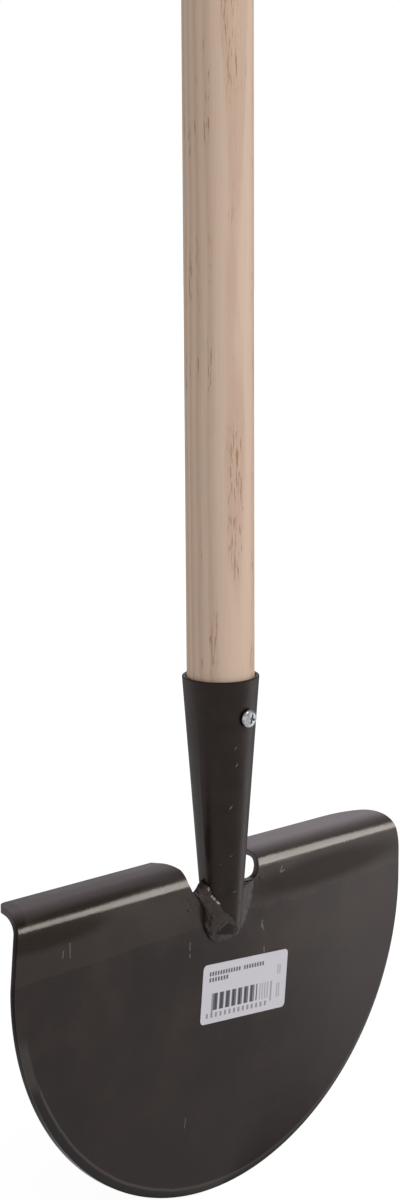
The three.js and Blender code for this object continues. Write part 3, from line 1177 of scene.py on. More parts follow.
# The tool's pieces.
@dataclass
class Blade:
    """The bent sheet: half-round below, two treads above with a notch between them, and a ground edge."""

    lacquer: bpy.types.Material
    paper: bpy.types.Material
    thickness: float = 0.003
    half_width: float = 0.1163
    drop: float = 0.1133
    tread_ends: Pair = (-0.1146, 0.1158)
    tread_height: float = 0.033
    tread_depth: float = 0.0133
    bend_radius: float = 0.010
    bend_rows: int = 14
    edge_steps: int = 180
    left_corner: float = 0.005
    right_corner: Pair = (0.036, 0.029)
    notch_floor: float = 0.0192
    notch_left: tuple[Pair, ...] = ((-0.017, 0.0192), (-0.0204, 0.0252), (-0.0218, 0.0313))
    notch_left_end: float = -0.0286
    notch_right: Pair = (0.0175, 0.0226)
    notch_neck: float = 0.0195
    notch_bulge_height: float = 0.027
    notch_corner: float = 0.001
    ground_width: float = 0.0065
    ground_depth: float = 0.0005
    grinding_reach: float = 0.005
    rim: float = 0.00035
    cut_edges: float = math.radians(30)
    ground_edges: Pair = (math.radians(6), math.radians(28))
    turn: float = math.radians(1.45)
    label_size: Pair = (0.0528, 0.0257)
    label_corner: float = 0.002
    label_thickness: float = 0.0002
    label_place: Pair = (0.0145, -0.0274)
    label_turn: float = math.radians(4.4)

    @property
    def bend_start(self) -> float:
        """The length along the sheet at which the bend starts."""
        return self.tread_height - self.bend_radius

    @property
    def bend_end(self) -> float:
        """The length along the sheet at which the bend ends."""
        return self.bend_start + self.bend_radius * math.pi / 2

    @property
    def sheet_end(self) -> float:
        """The length along the sheet at a tread's back edge."""
        return self.bend_end + self.tread_depth - self.bend_radius

    @property
    def widest_height(self) -> float:
        """How high the widest line stands above the lowest point."""
        return math.hypot(self.drop * math.cos(self.turn), self.half_width * math.sin(self.turn))

    def build(self) -> None:
        """Builds the sheet and the label."""
        sheet = combined(self._flat(), [self._grinding_ring()], Join.CUT)
        soften(sheet, self.rim, self.cut_edges)
        soften(sheet, self.rim, *self.ground_edges, segments=2)
        self._bend(sheet)
        self._stand(sheet)
        put("blade_sheet", sheet, self.lacquer, "blade")
        put("label_sheet", self._label(), self.paper, "label")

    def _stand(self, bm: Mesh) -> None:
        """Turns a shape with the blade and lifts it to the blade's height."""
        turn(bm, self.turn, "Y")
        move(bm, Z_AXIS * self.widest_height)

    def _curve(self, start: Pair, pull_start: Pair, pull_end: Pair, end: Pair, steps: int) -> list[Vector]:
        """Gives points on a curve between two points of the flat sheet."""
        corners = [Vector((x, 0, z)) for x, z in (start, pull_start, pull_end, end)]
        return geometry.interpolate_bezier(*corners, steps)

    def _corner(self, x: float, inward: int, radius: float) -> list[Vector]:
        """Rounds the corner between a side and the back edge.

        Args:
            x: where the side stands.
            inward: 1 or -1, the way from the side into the sheet.
            radius: the corner's radius.

        Returns:
            The corner's points, upwards.
        """
        foot, end = self.sheet_end - radius, x + inward * radius
        return self._curve((x, foot), (x, foot + radius * PULL), (end - inward * radius * PULL, self.sheet_end),
                           (end, self.sheet_end), steps=8)

    def _lower_edge(self) -> list[Vector]:
        """Gives the half-round lower edge, from the widest line's left end to its right end."""
        angles = [math.pi * step / self.edge_steps for step in range(self.edge_steps + 1)]
        return [Vector((-self.half_width * math.cos(angle), 0, -self.drop * math.sin(angle))) for angle in angles]

    def _right_side(self) -> list[Vector]:
        """Gives the right side with its large rounded corner.

        Returns:
            The side's points, upwards.
        """
        length, drop = self.right_corner
        side = self.tread_ends[1]
        foot, end = self.sheet_end - drop, side - length
        slope = (self.half_width - side) / self.bend_start
        return self._curve((self.half_width - slope * foot, foot), (side, foot + drop * PULL),
                           (end + length * PULL, self.sheet_end), (end, self.sheet_end), steps=24)

    def _notch_right_side(self) -> list[Vector]:
        """Gives the notch's right side: its corner, its narrow neck and the wider relief beneath.

        Returns:
            The side's points, downwards.
        """
        corner = self._corner(self.notch_neck, 1, self.notch_corner)
        floor, bulge = self.notch_right
        middle = self.notch_bulge_height
        rise = middle - self.notch_floor
        top, pull = middle + rise, rise * PULL
        neck = self._curve((self.notch_neck, top), (self.notch_neck, top - pull), (bulge, middle + pull),
                           (bulge, middle), steps=12)
        relief = self._curve((bulge, middle), (bulge, middle - pull), (bulge, self.notch_floor),
                             (floor, self.notch_floor), steps=14)
        return [*reversed(corner), *neck[1:], *relief[1:]]

    def _left_side(self) -> list[Vector]:
        """Gives the notch's left side, the left tread's back edge and its left side.

        Returns:
            The points, from the notch's floor to the bend's start.
        """
        side = self.tread_ends[0]
        notch = [Vector((x, 0, length)) for x, length in self.notch_left]
        return [*notch, *self._corner(self.notch_left_end, -1, self.notch_corner),
                *reversed(self._corner(side, 1, self.left_corner)), Vector((side, 0, self.bend_start))]

    def _flat(self) -> Mesh:
        """Makes the flat sheet, its front in the plane y = 0.

        Returns:
            The sheet.
        """
        outline = [*self._lower_edge(), *self._right_side(), *self._notch_right_side(), *self._left_side()]
        bm = bmesh.new()
        bm.faces.new([bm.verts.new(point) for point in outline])
        thicken(bm, Y_AXIS * self.thickness)
        return bm

    def _grinding_ring(self) -> Mesh:
        """Makes the ring that grinds the front of the lower edge and fades out towards the widest line.

        Returns:
            The ring, for cutting.
        """
        reach, start = self.grinding_reach, self.drop - self.ground_width
        slope = self.ground_depth / self.ground_width
        outer = self.drop + reach
        ring = spun([(start - reach, reach * slope), (outer, reach * slope),
                     (outer, -self.ground_depth - reach * slope)], 2 * self.edge_steps, -Y_AXIS)
        bmesh.ops.scale(ring, vec=(self.half_width / start, 1, 1), verts=ring.verts)
        slice_off(ring, ORIGIN, Z_AXIS)
        return ring

    def _bend(self, bm: Mesh) -> None:
        """Bends the sheet's upper part back into the treads.

        Args:
            bm: the flat sheet.
        """
        for row in range(self.bend_rows + 1):
            length = self.bend_start + (self.bend_end - self.bend_start) * row / self.bend_rows
            parts = [*bm.verts, *bm.edges, *bm.faces]
            bmesh.ops.bisect_plane(bm, geom=parts, plane_co=Z_AXIS * length, plane_no=Z_AXIS)
        for vert in bm.verts:
            length, depth = vert.co.z, vert.co.y
            if length >= self.bend_end:
                vert.co.y = self.bend_radius + length - self.bend_end
                vert.co.z = self.tread_height - depth
            elif length > self.bend_start:
                angle = (length - self.bend_start) / self.bend_radius
                vert.co.y = self.bend_radius - (self.bend_radius - depth) * math.cos(angle)
                vert.co.z = self.bend_start + (self.bend_radius - depth) * math.sin(angle)

    def _label(self) -> Mesh:
        """Makes the paper label on the blade's front, with its own UV map.

        Returns:
            The label.
        """
        bm = bmesh.new()
        uv = bm.loops.layers.uv.new("label")
        bmesh.ops.create_grid(bm, x_segments=1, y_segments=1, size=0.5)
        bmesh.ops.scale(bm, vec=(*self.label_size, 1), verts=bm.verts)
        bmesh.ops.bevel(bm, geom=list(bm.verts), offset=self.label_corner, segments=8, profile=0.5, affect="VERTICES",
                        material=-1)
        thicken(bm, Z_AXIS * self.label_thickness)
        width, height = self.label_size
        for face in bm.faces:
            for loop in face.loops:
                loop[uv].uv = (loop.vert.co.x / width + 0.5, loop.vert.co.y / height + 0.5)
        turn(bm, math.pi / 2, "X")
        turn(bm, self.label_turn, "Y")
        x, z = self.label_place
        move(bm, (x, 0, z))
        self._stand(bm)
        return bm


@dataclass(frozen=True)
class Station:
    """One line down the weld's face, from its seam on the socket to its foot on the sheet."""

    foot_x: float
    foot_z: float
    edge: float
    seam_x: float
    seam_y: float
    seam_z: float
    bulge: float

    def foot(self, y: float) -> Vector:
        """Gives the foot at a depth."""
        return Vector((self.foot_x, y, self.foot_z))

    def seam(self) -> Vector:
        """Gives the seam's point."""
        return Vector((self.seam_x, self.seam_y, self.seam_z))

    def face(self, share: float) -> Vector:
        """Gives a point between the foot's edge and the seam, bulged forwards."""
        return self.foot(-self.edge).lerp(self.seam(), share) - Y_AXIS * (4 * self.bulge * share * (1 - share))

    def core(self) -> Vector:
        """Gives the point inside the socket that closes the shape."""
        return Vector((self.seam_x / 2, self.seam_y / 2, self.seam_z))


# Millimetres, with heights from the notch's floor: the foot's place, the edge's thickness, the seam's place
# and the bulge.
TONGUE = (
    (-14.0, 1.6, -0.6, -8.4, 3.8, 4.4, -0.5), (-17.2, 2.0, 0.5, -9.6, 0.6, 4.0, -0.8),
    (-15.0, -0.2, 0.9, -9.45, -1.75, 1.9, -0.3), (-13.1, -2.6, 1.0, -8.95, -3.1, -1.1, 0.3),
    (-11.2, -6.4, 1.0, -7.5, -5.4, -3.7, 0.7), (-10.5, -10.4, 1.0, -6.45, -6.4, -6.1, 1.0),
    (-10.1, -14.6, 0.9, -5.55, -7.0, -7.6, 1.4), (-8.8, -18.6, 0.9, -3.8, -8.05, -9.3, 1.5),
    (-6.2, -21.8, 0.7, -2.2, -8.5, -11.0, 1.3), (-1.8, -23.6, 0.3, -1.3, -8.6, -13.0, 1.1),
    (3.0, -23.6, 0.05, -0.5, -8.5, -13.4, 0.9), (8.6, -22.4, 0.0, 0.2, -8.4, -12.8, 0.4),
    (13.0, -20.0, 0.0, 0.6, -8.4, -11.4, -0.5), (15.4, -16.4, 0.0, 1.1, -8.6, -9.2, -0.9),
    (17.2, -11.6, 0.0, 1.4, -8.7, -6.4, -1.1), (18.9, -7.0, 0.0, 1.5, -9.0, -3.6, -1.1),
    (19.9, -3.0, 0.0, 1.8, -9.1, -1.2, -1.1), (20.2, -0.9, 0.0, 2.0, -9.1, 0.2, -1.0),
    (12.0, -0.9, 0.0, 1.8, -8.4, 0.2, -0.5), (2.0, -0.7, 0.0, 1.6, -6.0, 0.8, 0.0),
    (-7.0, -0.4, 0.0, -4.0, -3.0, 2.0, 0.0),
)
# The small beads along the tongue's upper left seam: place from the notch's floor, and radius.
SEAM_BEADS = (
    (-0.0096, -0.0014, 0.0022, 0.0006), (-0.0093, -0.0026, 0.0006, 0.0007), (-0.0088, -0.0038, -0.0010, 0.0005),
    (-0.0080, -0.0047, -0.0026, 0.0007), (-0.0072, -0.0054, -0.0042, 0.0005),
)


@dataclass(frozen=True)
class Spray:
    """Where drops lie beside the weld: the nearest, and how far the others spread from it."""

    x: float
    spread: float
    drop: float
    fall: float


@dataclass
class Welds:
    """The weld round the socket's toe, and the one between the sheet's back and the socket's rear half."""

    lacquer: bpy.types.Material
    floor: float
    toe: float
    grain: float = 0.0003
    smoothing: int = 3
    foot_depth: float = 0.0006
    face_rows: int = 4
    lump_place: Point = (0.0002, -0.0068, 0.0011)
    lump_size: Point = (0.0020, 0.0020, 0.0022)
    front_bumps: tuple[Pair, Pair] = ((0.00042, 420.0), (0.00020, 1300.0))
    drops: int = 26
    drop_size: Pair = (0.00018, 0.00022)
    sprays: tuple[Spray, Spray] = (Spray(-0.0140, -0.0070, 0.0004, 0.0060), Spray(0.0165, 0.0095, 0.0008, 0.0030))
    rear_beads: int = 9
    rear_arc: Pair = (0.10, 0.80)
    rear_reach: Pair = (0.0082, 0.0066)
    rear_depth: float = 0.0016
    rear_sink: float = 0.0004
    rear_bead_size: Point = (0.0020, 0.0020, 0.0026)
    web_place: Point = (0.0, 0.003, -0.0010)
    web_size: Point = (0.0102, 0.0064, 0.0040)
    rear_bumps: tuple[Pair, Pair] = ((0.00024, 420.0), (0.00008, 1500.0))
    rear_front: float = 0.0026

    def build(self) -> None:
        """Builds both welds."""
        put("weld_front", self._front(), self.lacquer, "front_weld")
        put("weld_rear", self._rear(), self.lacquer, "rear_weld")

    def _front(self) -> Mesh:
        """Makes the weld round the toe: a tongue with a thick left edge that fades out below and at the right.

        Returns:
            The weld, with its drops.
        """
        stations = [Station(*(value / 1000 for value in row)) for row in TONGUE]
        rings = [[station.foot(self.foot_depth) for station in stations]]
        for row in range(self.face_rows + 1):
            rings.append([station.face(row / self.face_rows) for station in stations])
        rings.append([station.core() for station in stations])
        tongue = lofted([rounded(ring) for ring in rings])
        move(tongue, Z_AXIS * self.floor)
        x, y, rise = self.lump_place
        lump = ball((x, y, self.toe + rise), self.lump_size)
        beads = [ball((x, y, self.floor + z), (r, r, r * 1.5), 3) for x, y, z, r in SEAM_BEADS]
        skin = remeshed(merged([tongue, lump, *beads]), self.grain, self.smoothing)
        roughen(skin, *self.front_bumps)
        return merged([skin, *self._spatter()])

    def _spatter(self) -> list[Mesh]:
        """Makes the small drops thrown on the sheet beside the weld.

        Returns:
            The drops, by turns at the left and at the right.
        """
        drops = []
        for index in range(self.drops):
            spray = self.sprays[index % 2]
            along, aside, size = (noise.random() for _ in range(3))
            least, more = self.drop_size
            drops.append(ball((spray.x + spray.spread * aside, 0.0, self.floor - (spray.drop + spray.fall * along)),
                              (least + more * size,) * 3, 2))
        return drops

    def _rear(self) -> Mesh:
        """Makes the weld behind the sheet: an arc of beads on a web.

        Returns:
            The weld, cut flat where it meets the sheet.
        """
        start, sweep = self.rear_arc
        across, back = self.rear_reach
        beads = []
        for step in range(self.rear_beads):
            angle = math.pi * (start + sweep * step / (self.rear_beads - 1))
            place = (across * math.cos(angle), self.rear_depth + back * math.sin(angle), self.floor - self.rear_sink)
            beads.append(ball(place, self.rear_bead_size, 3))
        x, y, rise = self.web_place
        web = ball((x, y, self.floor + rise), self.web_size)
        skin = remeshed(merged([web, *beads]), self.grain, self.smoothing)
        roughen(skin, *self.rear_bumps)
        slice_off(skin, (0, self.rear_front, 0), -Y_AXIS)
        return skin


@dataclass
class Socket:
    """The conical socket with its screw and the two welds."""

    lacquer: bpy.types.Material
    weld: bpy.types.Material
    zinc: bpy.types.Material
    floor: float
    rim_radius: float = 0.016
    taper: float = 0.0739
    wall: float = 0.0017
    rise: float = 0.0913
    lap: float = 0.018
    floor_gap: float = 0.001
    rim_round: float = 0.0005
    gap: float = 0.0003
    cutter_reach: float = 0.03
    toe_margin: float = 0.01
    facets: int = 128
    hole_facets: int = 32
    screw_drop: float = 0.016
    head_radius: float = 0.0039
    head_height: float = 0.0021
    head_flat: float = 0.42
    head_side: float = 0.22
    head_round: float = 0.00012
    head_rows: int = 8
    head_turn: float = math.radians(20)
    screw_length: float = 0.018
    crest: float = 0.002
    root: float = 0.0015
    pitch: float = 0.0015
    thread_turns: int = 10
    screw_facets: int = 48
    slot_margin: float = 0.004
    recess: tuple[float, float, float] = (0.0038, 0.0009, 0.0013)

    @property
    def rim(self) -> float:
        """The rim's height."""
        return self.floor + self.rise

    @property
    def toe(self) -> float:
        """The toe's height."""
        return self.floor - self.lap

    @property
    def screw_height(self) -> float:
        """The screw's height."""
        return self.rim - self.screw_drop

    def radius(self, height: float) -> float:
        """Gives the outer radius at a height."""
        return self.rim_radius - self.taper * (self.rim - height)

    def build(self) -> None:
        """Builds the socket, its welds and its screw."""
        put("socket_tube", self._tube(), self.lacquer, "socket")
        Welds(self.weld, self.floor, self.toe).build()
        put("screw", self._screw(), self.zinc, "socket_screw")

    def _tube(self) -> Mesh:
        """Makes the cone, full above the notch's floor and half below it.

        Returns:
            The cone, with the screw's hole.
        """
        low, high = self.radius(self.toe), self.rim_radius
        tube = spun([(low - self.wall, self.toe), (low, self.toe), (high, self.rim), (high - self.wall, self.rim)],
                    self.facets)
        soften(tube, self.rim_round, math.radians(60))
        reach = self.cutter_reach
        behind = block((-reach, 0, self.toe - self.toe_margin), (reach, reach, self.floor + self.floor_gap))
        hole = rod(self.crest + self.gap, 0, reach, self.hole_facets, -Y_AXIS)
        move(hole, Z_AXIS * self.screw_height)
        return combined(tube, [behind, hole], Join.CUT)

    def _head(self) -> list[Pair]:
        """Gives the domed head's profile.

        Returns:
            Its radii and heights, from its middle to the shank.
        """
        dome = [(0.0, self.head_height)]
        for row in range(1, self.head_rows + 1):
            angle = math.pi / 2 * row / self.head_rows
            dome.append((self.head_radius * (self.head_flat + (1 - self.head_flat) * math.sin(angle)),
                         self.head_height * (self.head_side + (1 - self.head_side) * math.cos(angle))))
        return [*dome, (self.head_radius, 0.0), (self.crest, 0.0)]

    def _screw(self) -> Mesh:
        """Makes the pan-head screw, its cross recess and its thread.

        Returns:
            The screw, seated on the socket's front.
        """
        profile = self._head()
        for row in range(1, self.thread_turns + 1):
            profile += [(self.root, -(row - 0.5) * self.pitch), (self.crest, -row * self.pitch)]
        screw = spun([*profile, (0.0, -self.screw_length)], self.screw_facets, -Y_AXIS)
        length, width, depth = self.recess
        top = self.head_height
        slots = [block((-x, -top - self.slot_margin, -z), (x, -top + depth, z)) for x, z in
                 ((length / 2, width / 2), (width / 2, length / 2))]
        screw = combined(screw, slots, Join.CUT)
        soften(screw, self.head_round, math.radians(50), segments=2)
        seat = -self.radius(self.screw_height + self.head_radius) - self.gap
        turn(screw, self.head_turn, "Y")
        move(screw, (0, seat, self.screw_height))
        return screw


@dataclass
class Handle:
    """The ash shaft and the turned T-grip, wedged and pinned on its tenon."""

    ash: bpy.types.Material
    ash_across: bpy.types.Material
    wedge_wood: bpy.types.Material
    zinc: bpy.types.Material
    socket: Socket
    mouth_radius: float = 0.014
    radius: float = 0.0146
    swell_length: float = 0.400
    foot_rise: float = 0.0075
    foot_chamfer: float = 0.0015
    tool_height: float = 1.050
    grip_length: float = 0.122
    grip_radius: float = 0.018
    grip_end_radius: float = 0.0145
    grip_end_round: float = 0.007
    grip_edge: float = 0.0004
    tenon_radius: float = 0.0105
    wedge: tuple[float, float, float] = (0.0026, 0.0010, 0.015)
    pin_radius: float = 0.002
    pin_drop: float = 0.007
    pilot: Pair = (-0.006, 0.016)
    gap: float = 0.0003
    cutter_reach: float = 0.03
    overcut: float = 0.01
    facets: int = 128
    grip_facets: int = 96
    hole_facets: int = 32
    grip_end_rows: int = 10
    grip_rows: int = 18
    grip_pull: float = 0.42

    @property
    def grip_height(self) -> float:
        """The crosspiece's height."""
        return self.tool_height - self.grip_radius

    def build(self) -> None:
        """Builds the shaft, the crosspiece, the wedge and the pin."""
        put("shaft", self._shaft(), self.ash, "handle_shaft")
        bore = rod(self.tenon_radius + self.gap, self.grip_height - self.cutter_reach, self.tool_height + self.overcut,
                   self.grip_facets)
        crosspiece = combined(self._grip(0.0), [bore, self._pin(self.gap)], Join.CUT)
        soften(crosspiece, self.grip_edge, math.radians(50), segments=2)
        put("crosspiece", crosspiece, self.ash_across, "grip_crosspiece")
        tenon = rod(self.tenon_radius, self.grip_height, self.tool_height, self.grip_facets)
        wedge = combined(tenon, [self._grip(0.0), self._wedge(0.0)], Join.KEEP)
        put("wedge", wedge, self.wedge_wood, "grip_wedge")
        put("pin", combined(self._pin(0.0), [self._grip(0.0)], Join.KEEP), self.zinc, "grip_pin")

    def _grip(self, growth: float) -> Mesh:
        """Makes the turned crosspiece.

        Args:
            growth: the clearance that it is grown by.

        Returns:
            The crosspiece, without its bore.
        """
        half = self.grip_length / 2 + growth
        shoulder = half - self.grip_end_round
        flat = self.grip_end_radius + growth - self.grip_end_round
        ends = [(flat + self.grip_end_round * math.sin(a), shoulder + self.grip_end_round * math.cos(a))
                for a in (math.pi / 2 * row / self.grip_end_rows for row in range(self.grip_end_rows))]
        full, pull = self.grip_radius + growth, shoulder * self.grip_pull
        swell = geometry.interpolate_bezier((self.grip_end_radius + growth, shoulder), (full, pull), (full, pull),
                                            (full, 0.0), self.grip_rows)
        upper = [(0.0, half), *ends, *((point[0], point[1]) for point in swell)]
        lower = [(radius, -height) for radius, height in reversed(upper[:-1])]
        grip = spun([*upper, *lower], self.grip_facets, X_AXIS)
        move(grip, Z_AXIS * self.grip_height)
        return grip

    def _pin(self, growth: float) -> Mesh:
        """Makes the pin's bar across the crosspiece.

        Args:
            growth: the clearance that it is grown by.

        Returns:
            The bar, longer than the crosspiece is thick.
        """
        reach = self.grip_radius + self.overcut / 2
        bar = rod(self.pin_radius + growth, -reach, reach, self.hole_facets, Y_AXIS)
        move(bar, Z_AXIS * (self.grip_height - self.pin_drop))
        return bar

    def _wedge(self, growth: float) -> Mesh:
        """Makes the wedge's body across the tenon.

        Args:
            growth: the clearance that it is grown by.

        Returns:
            The body, longer than the tenon is thick.
        """
        top, tip, depth = self.wedge
        body = block((-0.5, -0.5, -0.5), (0.5, 0.5, 0.5))
        for vert in body.verts:
            high = vert.co.z > 0
            vert.co.x *= (top if high else tip) + 2 * growth
            vert.co.y *= 2 * self.tenon_radius + self.overcut
            vert.co.z = self.tool_height + 2 * growth if high else self.tool_height - depth - growth
        return body

    def _shaft(self) -> Mesh:
        """Makes the shaft, its foot in the socket and its tenon in the crosspiece.

        Returns:
            The shaft, cut for the screw, the wedge and the pin.
        """
        socket = self.socket
        foot = socket.floor + self.foot_rise
        inner = socket.wall + self.gap
        swell = socket.rim + self.swell_length
        shaft = spun([(0, foot), (socket.radius(foot) - inner - self.foot_chamfer, foot),
                      (socket.radius(foot + self.foot_chamfer) - inner, foot + self.foot_chamfer),
                      (self.mouth_radius, socket.rim), (self.radius, swell), (self.radius, self.grip_height),
                      (0, self.grip_height)], self.facets)
        shaft = combined(shaft, [self._grip(self.gap)], Join.CUT)
        tenon = rod(self.tenon_radius, swell, self.tool_height, self.grip_facets)
        tenon = combined(tenon, [self._upper_grip()], Join.CUT)
        shaft = combined(shaft, [tenon], Join.ADD)
        pilot = rod(socket.crest + self.gap, *self.pilot, self.hole_facets, -Y_AXIS)
        move(pilot, Z_AXIS * socket.screw_height)
        return combined(shaft, [pilot, self._wedge(self.gap), self._pin(self.gap)], Join.CUT)

    def _upper_grip(self) -> Mesh:
        """Makes what lies above the crosspiece's skin, for cutting the tenon level with it.

        Returns:
            The cutting shape.
        """
        reach = self.cutter_reach
        above = block((-reach, -reach, self.grip_height), (reach, reach, self.tool_height + self.overcut))
        return combined(above, [self._grip(0.0)], Join.CUT)


# The studio.
def towards(azimuth: float, elevation: float) -> Vector:
    """Gives the direction at two angles in radians. Azimuth 0 is straight ahead of the blade's front."""
    level = math.cos(elevation)
    return Vector((math.sin(azimuth) * level, -math.cos(azimuth) * level, math.sin(elevation)))


@dataclass(frozen=True)
class Lamp:
    """An area lamp that faces the tool from one direction."""

    name: str
    azimuth: float
    elevation: float
    distance: float
    width: float
    height: float
    radiance: float
    in_gloss: bool
    aim: Point = (0.0, 0.0, 0.2)
    roll: float = 0.0
    colour: Colour = (1.0, 1.0, 1.0)

    def build(self) -> None:
        """Hangs the lamp."""
        back = towards(math.radians(self.azimuth), math.radians(self.elevation))
        data = bpy.data.lights.new(self.name, "AREA")
        data.shape = "RECTANGLE"
        data.size = self.width
        data.size_y = self.height
        data.energy = self.radiance * math.pi * self.width * self.height
        data.color = self.colour
        lamp = shown(self.name, data)
        lamp.location = Vector(self.aim) + back * self.distance
        spin = Quaternion((0, 0, 1), math.radians(self.roll))
        lamp.rotation_euler = (back.to_track_quat("Z", "Y") @ spin).to_euler()
        lamp.visible_camera = False
        lamp.visible_glossy = self.in_gloss
        lamp.visible_diffuse = not self.in_gloss


@dataclass(frozen=True)
class Studio:
    """Pale floor, pale surroundings and soft lamps."""

    floor_size: float = 8.0
    floor_colour: Colour = (0.80, 0.80, 0.80)
    floor_roughness: float = 0.9
    floor_glow: float = 0.90
    floor_reach: Pair = (0.35, 1.2)
    floor_share: float = 0.30
    mirror_glow: float = 0.80
    # Painted reflection: seen in reflections alone, the floor glows up to 1 + sheen times brighter in a zone at the
    # tool's right front.
    sheen: float = 1.2
    sheen_reach: Pair = (0.02, 0.13)
    sheen_depth: Pair = (0.05, -0.05)
    ambient: float = 0.45
    ceiling_share: float = 0.5
    ceiling_height: Pair = (0.05, 0.70)
    lamps: tuple[Lamp, ...] = (
        Lamp("key", azimuth=12, elevation=34, distance=1.5, width=0.9, height=0.9, radiance=3.1, in_gloss=False),
        Lamp("fill", azimuth=-115, elevation=20, distance=1.6, width=0.9, height=0.9, radiance=0.3, in_gloss=False),
        Lamp("strip", azimuth=43, elevation=0, distance=0.6, width=0.36, height=0.235, radiance=11.0, in_gloss=True,
             aim=(0.0, 0.0, 0.130), roll=30.0, colour=(0.97, 1.0, 0.95)),
        Lamp("overhead", azimuth=112, elevation=36, distance=1.2, width=1.5, height=0.38, radiance=0.4, in_gloss=True,
             aim=(0.0, 0.0, 0.14), roll=-38.0),
        Lamp("spark", azimuth=0, elevation=58, distance=0.7, width=0.25, height=0.2, radiance=7.0, in_gloss=True,
             aim=(0.0, -0.015, 0.208)),
    )

    def build(self, effects: Effects) -> None:
        """Builds the world, the floor and the lamps.

        Args:
            effects: the shared node groups.
        """
        self._world(effects)
        self._floor(effects)
        for lamp in self.lamps:
            lamp.build()
        bpy.context.scene.view_settings.view_transform = "Standard"

    def flag(self, lamp: str, pieces: Sequence[str]) -> None:
        """Lets a lamp shine on some pieces alone, as a flag in front of it would.

        Args:
            lamp: the lamp's name.
            pieces: the names of the pieces that it lights.
        """
        lit = bpy.data.collections.new(f"lit_by_{lamp}")
        for name in pieces:
            lit.objects.link(bpy.data.objects[name])
        bpy.data.objects[lamp].light_linking.receiver_collection = lit

    def _world(self, effects: Effects) -> None:
        """Builds the world: white for the camera, pale near the horizon in reflections, even for diffuse light.

        Args:
            effects: the shared node groups.
        """
        world = bpy.data.worlds.new("studio")
        bpy.context.scene.world = world
        world.use_nodes = True
        graph = Graph(world.node_tree)
        world.node_tree.nodes.clear()
        rays = graph.node("ShaderNodeLightPath").outputs
        direction = graph.node("ShaderNodeTexCoord").outputs["Generated"]
        high = graph.step(graph.split(direction)[2], *self.ceiling_height)
        sky = graph.times(graph.spread(high, 1.0, self.ceiling_share),
                          graph.use(effects.surround, {"Vector": direction})[0])
        mirrored = graph.math("MAXIMUM", rays["Is Glossy Ray"], rays["Is Transmission Ray"])
        plain = graph.node("ShaderNodeMix", {0: mirrored, 2: self.ambient, 3: sky}).outputs[0]
        level = graph.node("ShaderNodeMix", {0: rays["Is Camera Ray"], 2: plain, 3: 1.0}).outputs[0]
        backdrop = graph.node("ShaderNodeBackground", {"Color": (1.0, 1.0, 1.0, 1.0), "Strength": level})
        graph.node("ShaderNodeOutputWorld", {"Surface": backdrop.outputs[0]})

    def _floor(self, effects: Effects) -> None:
        """Lays the floor, which keeps the tool's shadow.

        Args:
            effects: the shared node groups.
        """
        bm = bmesh.new()
        bmesh.ops.create_grid(bm, x_segments=1, y_segments=1, size=self.floor_size / 2)
        mesh = stored("floor", bm)
        mesh.materials.append(self._floor_finish(effects))
        floor = shown("floor", mesh)

    def _floor_finish(self, effects: Effects) -> bpy.types.Material:
        """Builds the pale floor's material, which glows for the camera and in reflections.

        Args:
            effects: the shared node groups.

        Returns:
            The material.
        """
        material = Material("pale_floor")
        rays = material.node("ShaderNodeLightPath").outputs
        mirrored = material.math("MAXIMUM", rays["Is Glossy Ray"], rays["Is Transmission Ray"])
        across, depth, _ = material.split(material.spot)
        # Painted reflection: the floor's glow in reflections rises in a zone at the tool's right front and falls
        # behind it at the right.
        side = material.times(material.step(material.plus(across, depth), *self.sheen_reach),
                              material.step(depth, *self.sheen_depth))
        fall_off = material.times(material.use(effects.surround, {"Vector": material.spot})[0],
                                  material.spread(side, 1.0, 1.0 + self.sheen))
        mirrored_glow = material.times(material.times(mirrored, fall_off), self.mirror_glow)
        far = material.step(material.vector("LENGTH", material.spot), *self.floor_reach)
        own_glow = material.times(rays["Is Camera Ray"], material.spread(far, self.floor_glow, 1.0))
        seen = material.math("MAXIMUM", rays["Is Camera Ray"], mirrored)
        colour = material.shaded(self.floor_colour, material.spread(seen, 1.0, self.floor_share))
        material.set(Base_Color=colour, Roughness=self.floor_roughness, Specular_IOR_Level=0.0,
                     Emission_Color=(1.0, 1.0, 1.0), Emission_Strength=material.plus(own_glow, mirrored_glow))
        return material.made


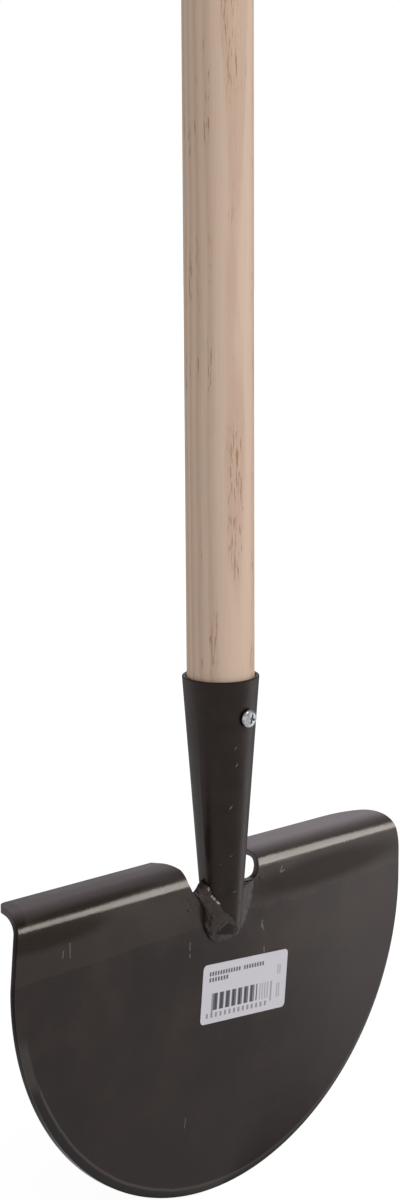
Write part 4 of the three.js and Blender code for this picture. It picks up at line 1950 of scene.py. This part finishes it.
@dataclass(frozen=True)
class StudioCamera:
    """The photograph's camera, in the part's frame."""

    azimuth: float = -46.07
    elevation: float = 11.00
    roll: float = -0.36
    distance: float = 1.02675
    target: Point = (-0.01029, 0.0016, 0.25631)
    focal_pixels: float = 2527.2
    photo_height: int = 1200
    film_height: float = 36.0
    near: float = 0.01
    far: float = 50.0

    def build(self) -> None:
        """Sets the scene's camera."""
        a, e, r = (math.radians(angle) for angle in (self.azimuth, self.elevation, self.roll))
        back = towards(a, e)
        level = Vector((math.cos(a), math.sin(a), 0))
        upright = back.cross(level)
        right = math.cos(r) * level + math.sin(r) * upright
        up = math.cos(r) * upright - math.sin(r) * level
        data = bpy.data.cameras.new("photograph")
        data.sensor_width = self.film_height
        data.lens = self.focal_pixels / self.photo_height * self.film_height
        data.clip_start = self.near
        data.clip_end = self.far
        camera = shown("photograph", data)
        facing = Matrix((right, up, back)).transposed().to_4x4()
        camera.matrix_world = Matrix.Translation(Vector(self.target) + back * self.distance) @ facing
        bpy.context.scene.camera = camera


def blade_finish() -> LacquerFinish:
    """Gives the blade's lacquer, with its painted sheen on the treads, its patches of painted shade and the ground
    band's painted shade and highlights.
    """
    return LacquerFinish("blade_lacquer", tidemark=Tidemark(0.1185, 0.004, 0.016), marks=BLADE_MARKS,
                         tread_sheen_depth=(0.0003, 0.0060), shade_patches=BLADE_SHADE_PATCHES,
                         ground=PaintedGroundBand((0.0022, 0.0, 0.1146), 0.1146, 0.1116))


def socket_finish() -> LacquerFinish:
    """Gives the socket's lacquer."""
    return LacquerFinish("socket_lacquer", roughness=(0.26, 0.38), patch_scale=55.0, marks=SOCKET_MARKS)


def weld_finish() -> LacquerFinish:
    """Gives the welds' lacquer."""
    # The bright bare colour serves the specks and the marks; on the seam it paints glints as well as bare metal.
    return LacquerFinish("weld_lacquer", dark=(0.022, 0.017, 0.0145), warm=(0.044, 0.034, 0.030), reflection=0.4,
                         roughness=(0.28, 0.42), patch_scale=420.0, speck_share=0.5, bare=(0.50, 0.48, 0.45),
                         marks=WELD_MARKS_AND_GLINTS)


def wedge_finish() -> AshFinish:
    """Gives the wedge's darker wood."""
    return AshFinish("wedge_wood", Grain.UPRIGHT, pale=(0.42, 0.26, 0.15), tinted=(0.36, 0.22, 0.13))


def main() -> None:
    """Builds the studio and the tool."""
    logging.basicConfig(level=logging.INFO)
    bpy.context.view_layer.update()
    noise.seed_set(11)
    effects = Effects()
    studio = Studio()
    StudioCamera().build()
    studio.build(effects)
    zinc = ZincFinish().build(effects)
    blade = Blade(blade_finish().build(effects), PaperFinish().build(effects))
    socket = Socket(socket_finish().build(effects), weld_finish().build(effects), zinc,
                    floor=blade.widest_height + blade.notch_floor)
    handle = Handle(AshFinish("ash_upright", Grain.UPRIGHT).build(effects),
                    AshFinish("ash_across", Grain.ACROSS).build(effects), wedge_finish().build(effects), zinc, socket)
    for assembly in (blade, socket, handle):
        assembly.build()
        LOG.info("built the %s", type(assembly).__name__.lower())
    studio.flag("strip", ("blade_sheet",))
    studio.flag("spark", ("screw",))


if __name__ == "__main__":
    main()
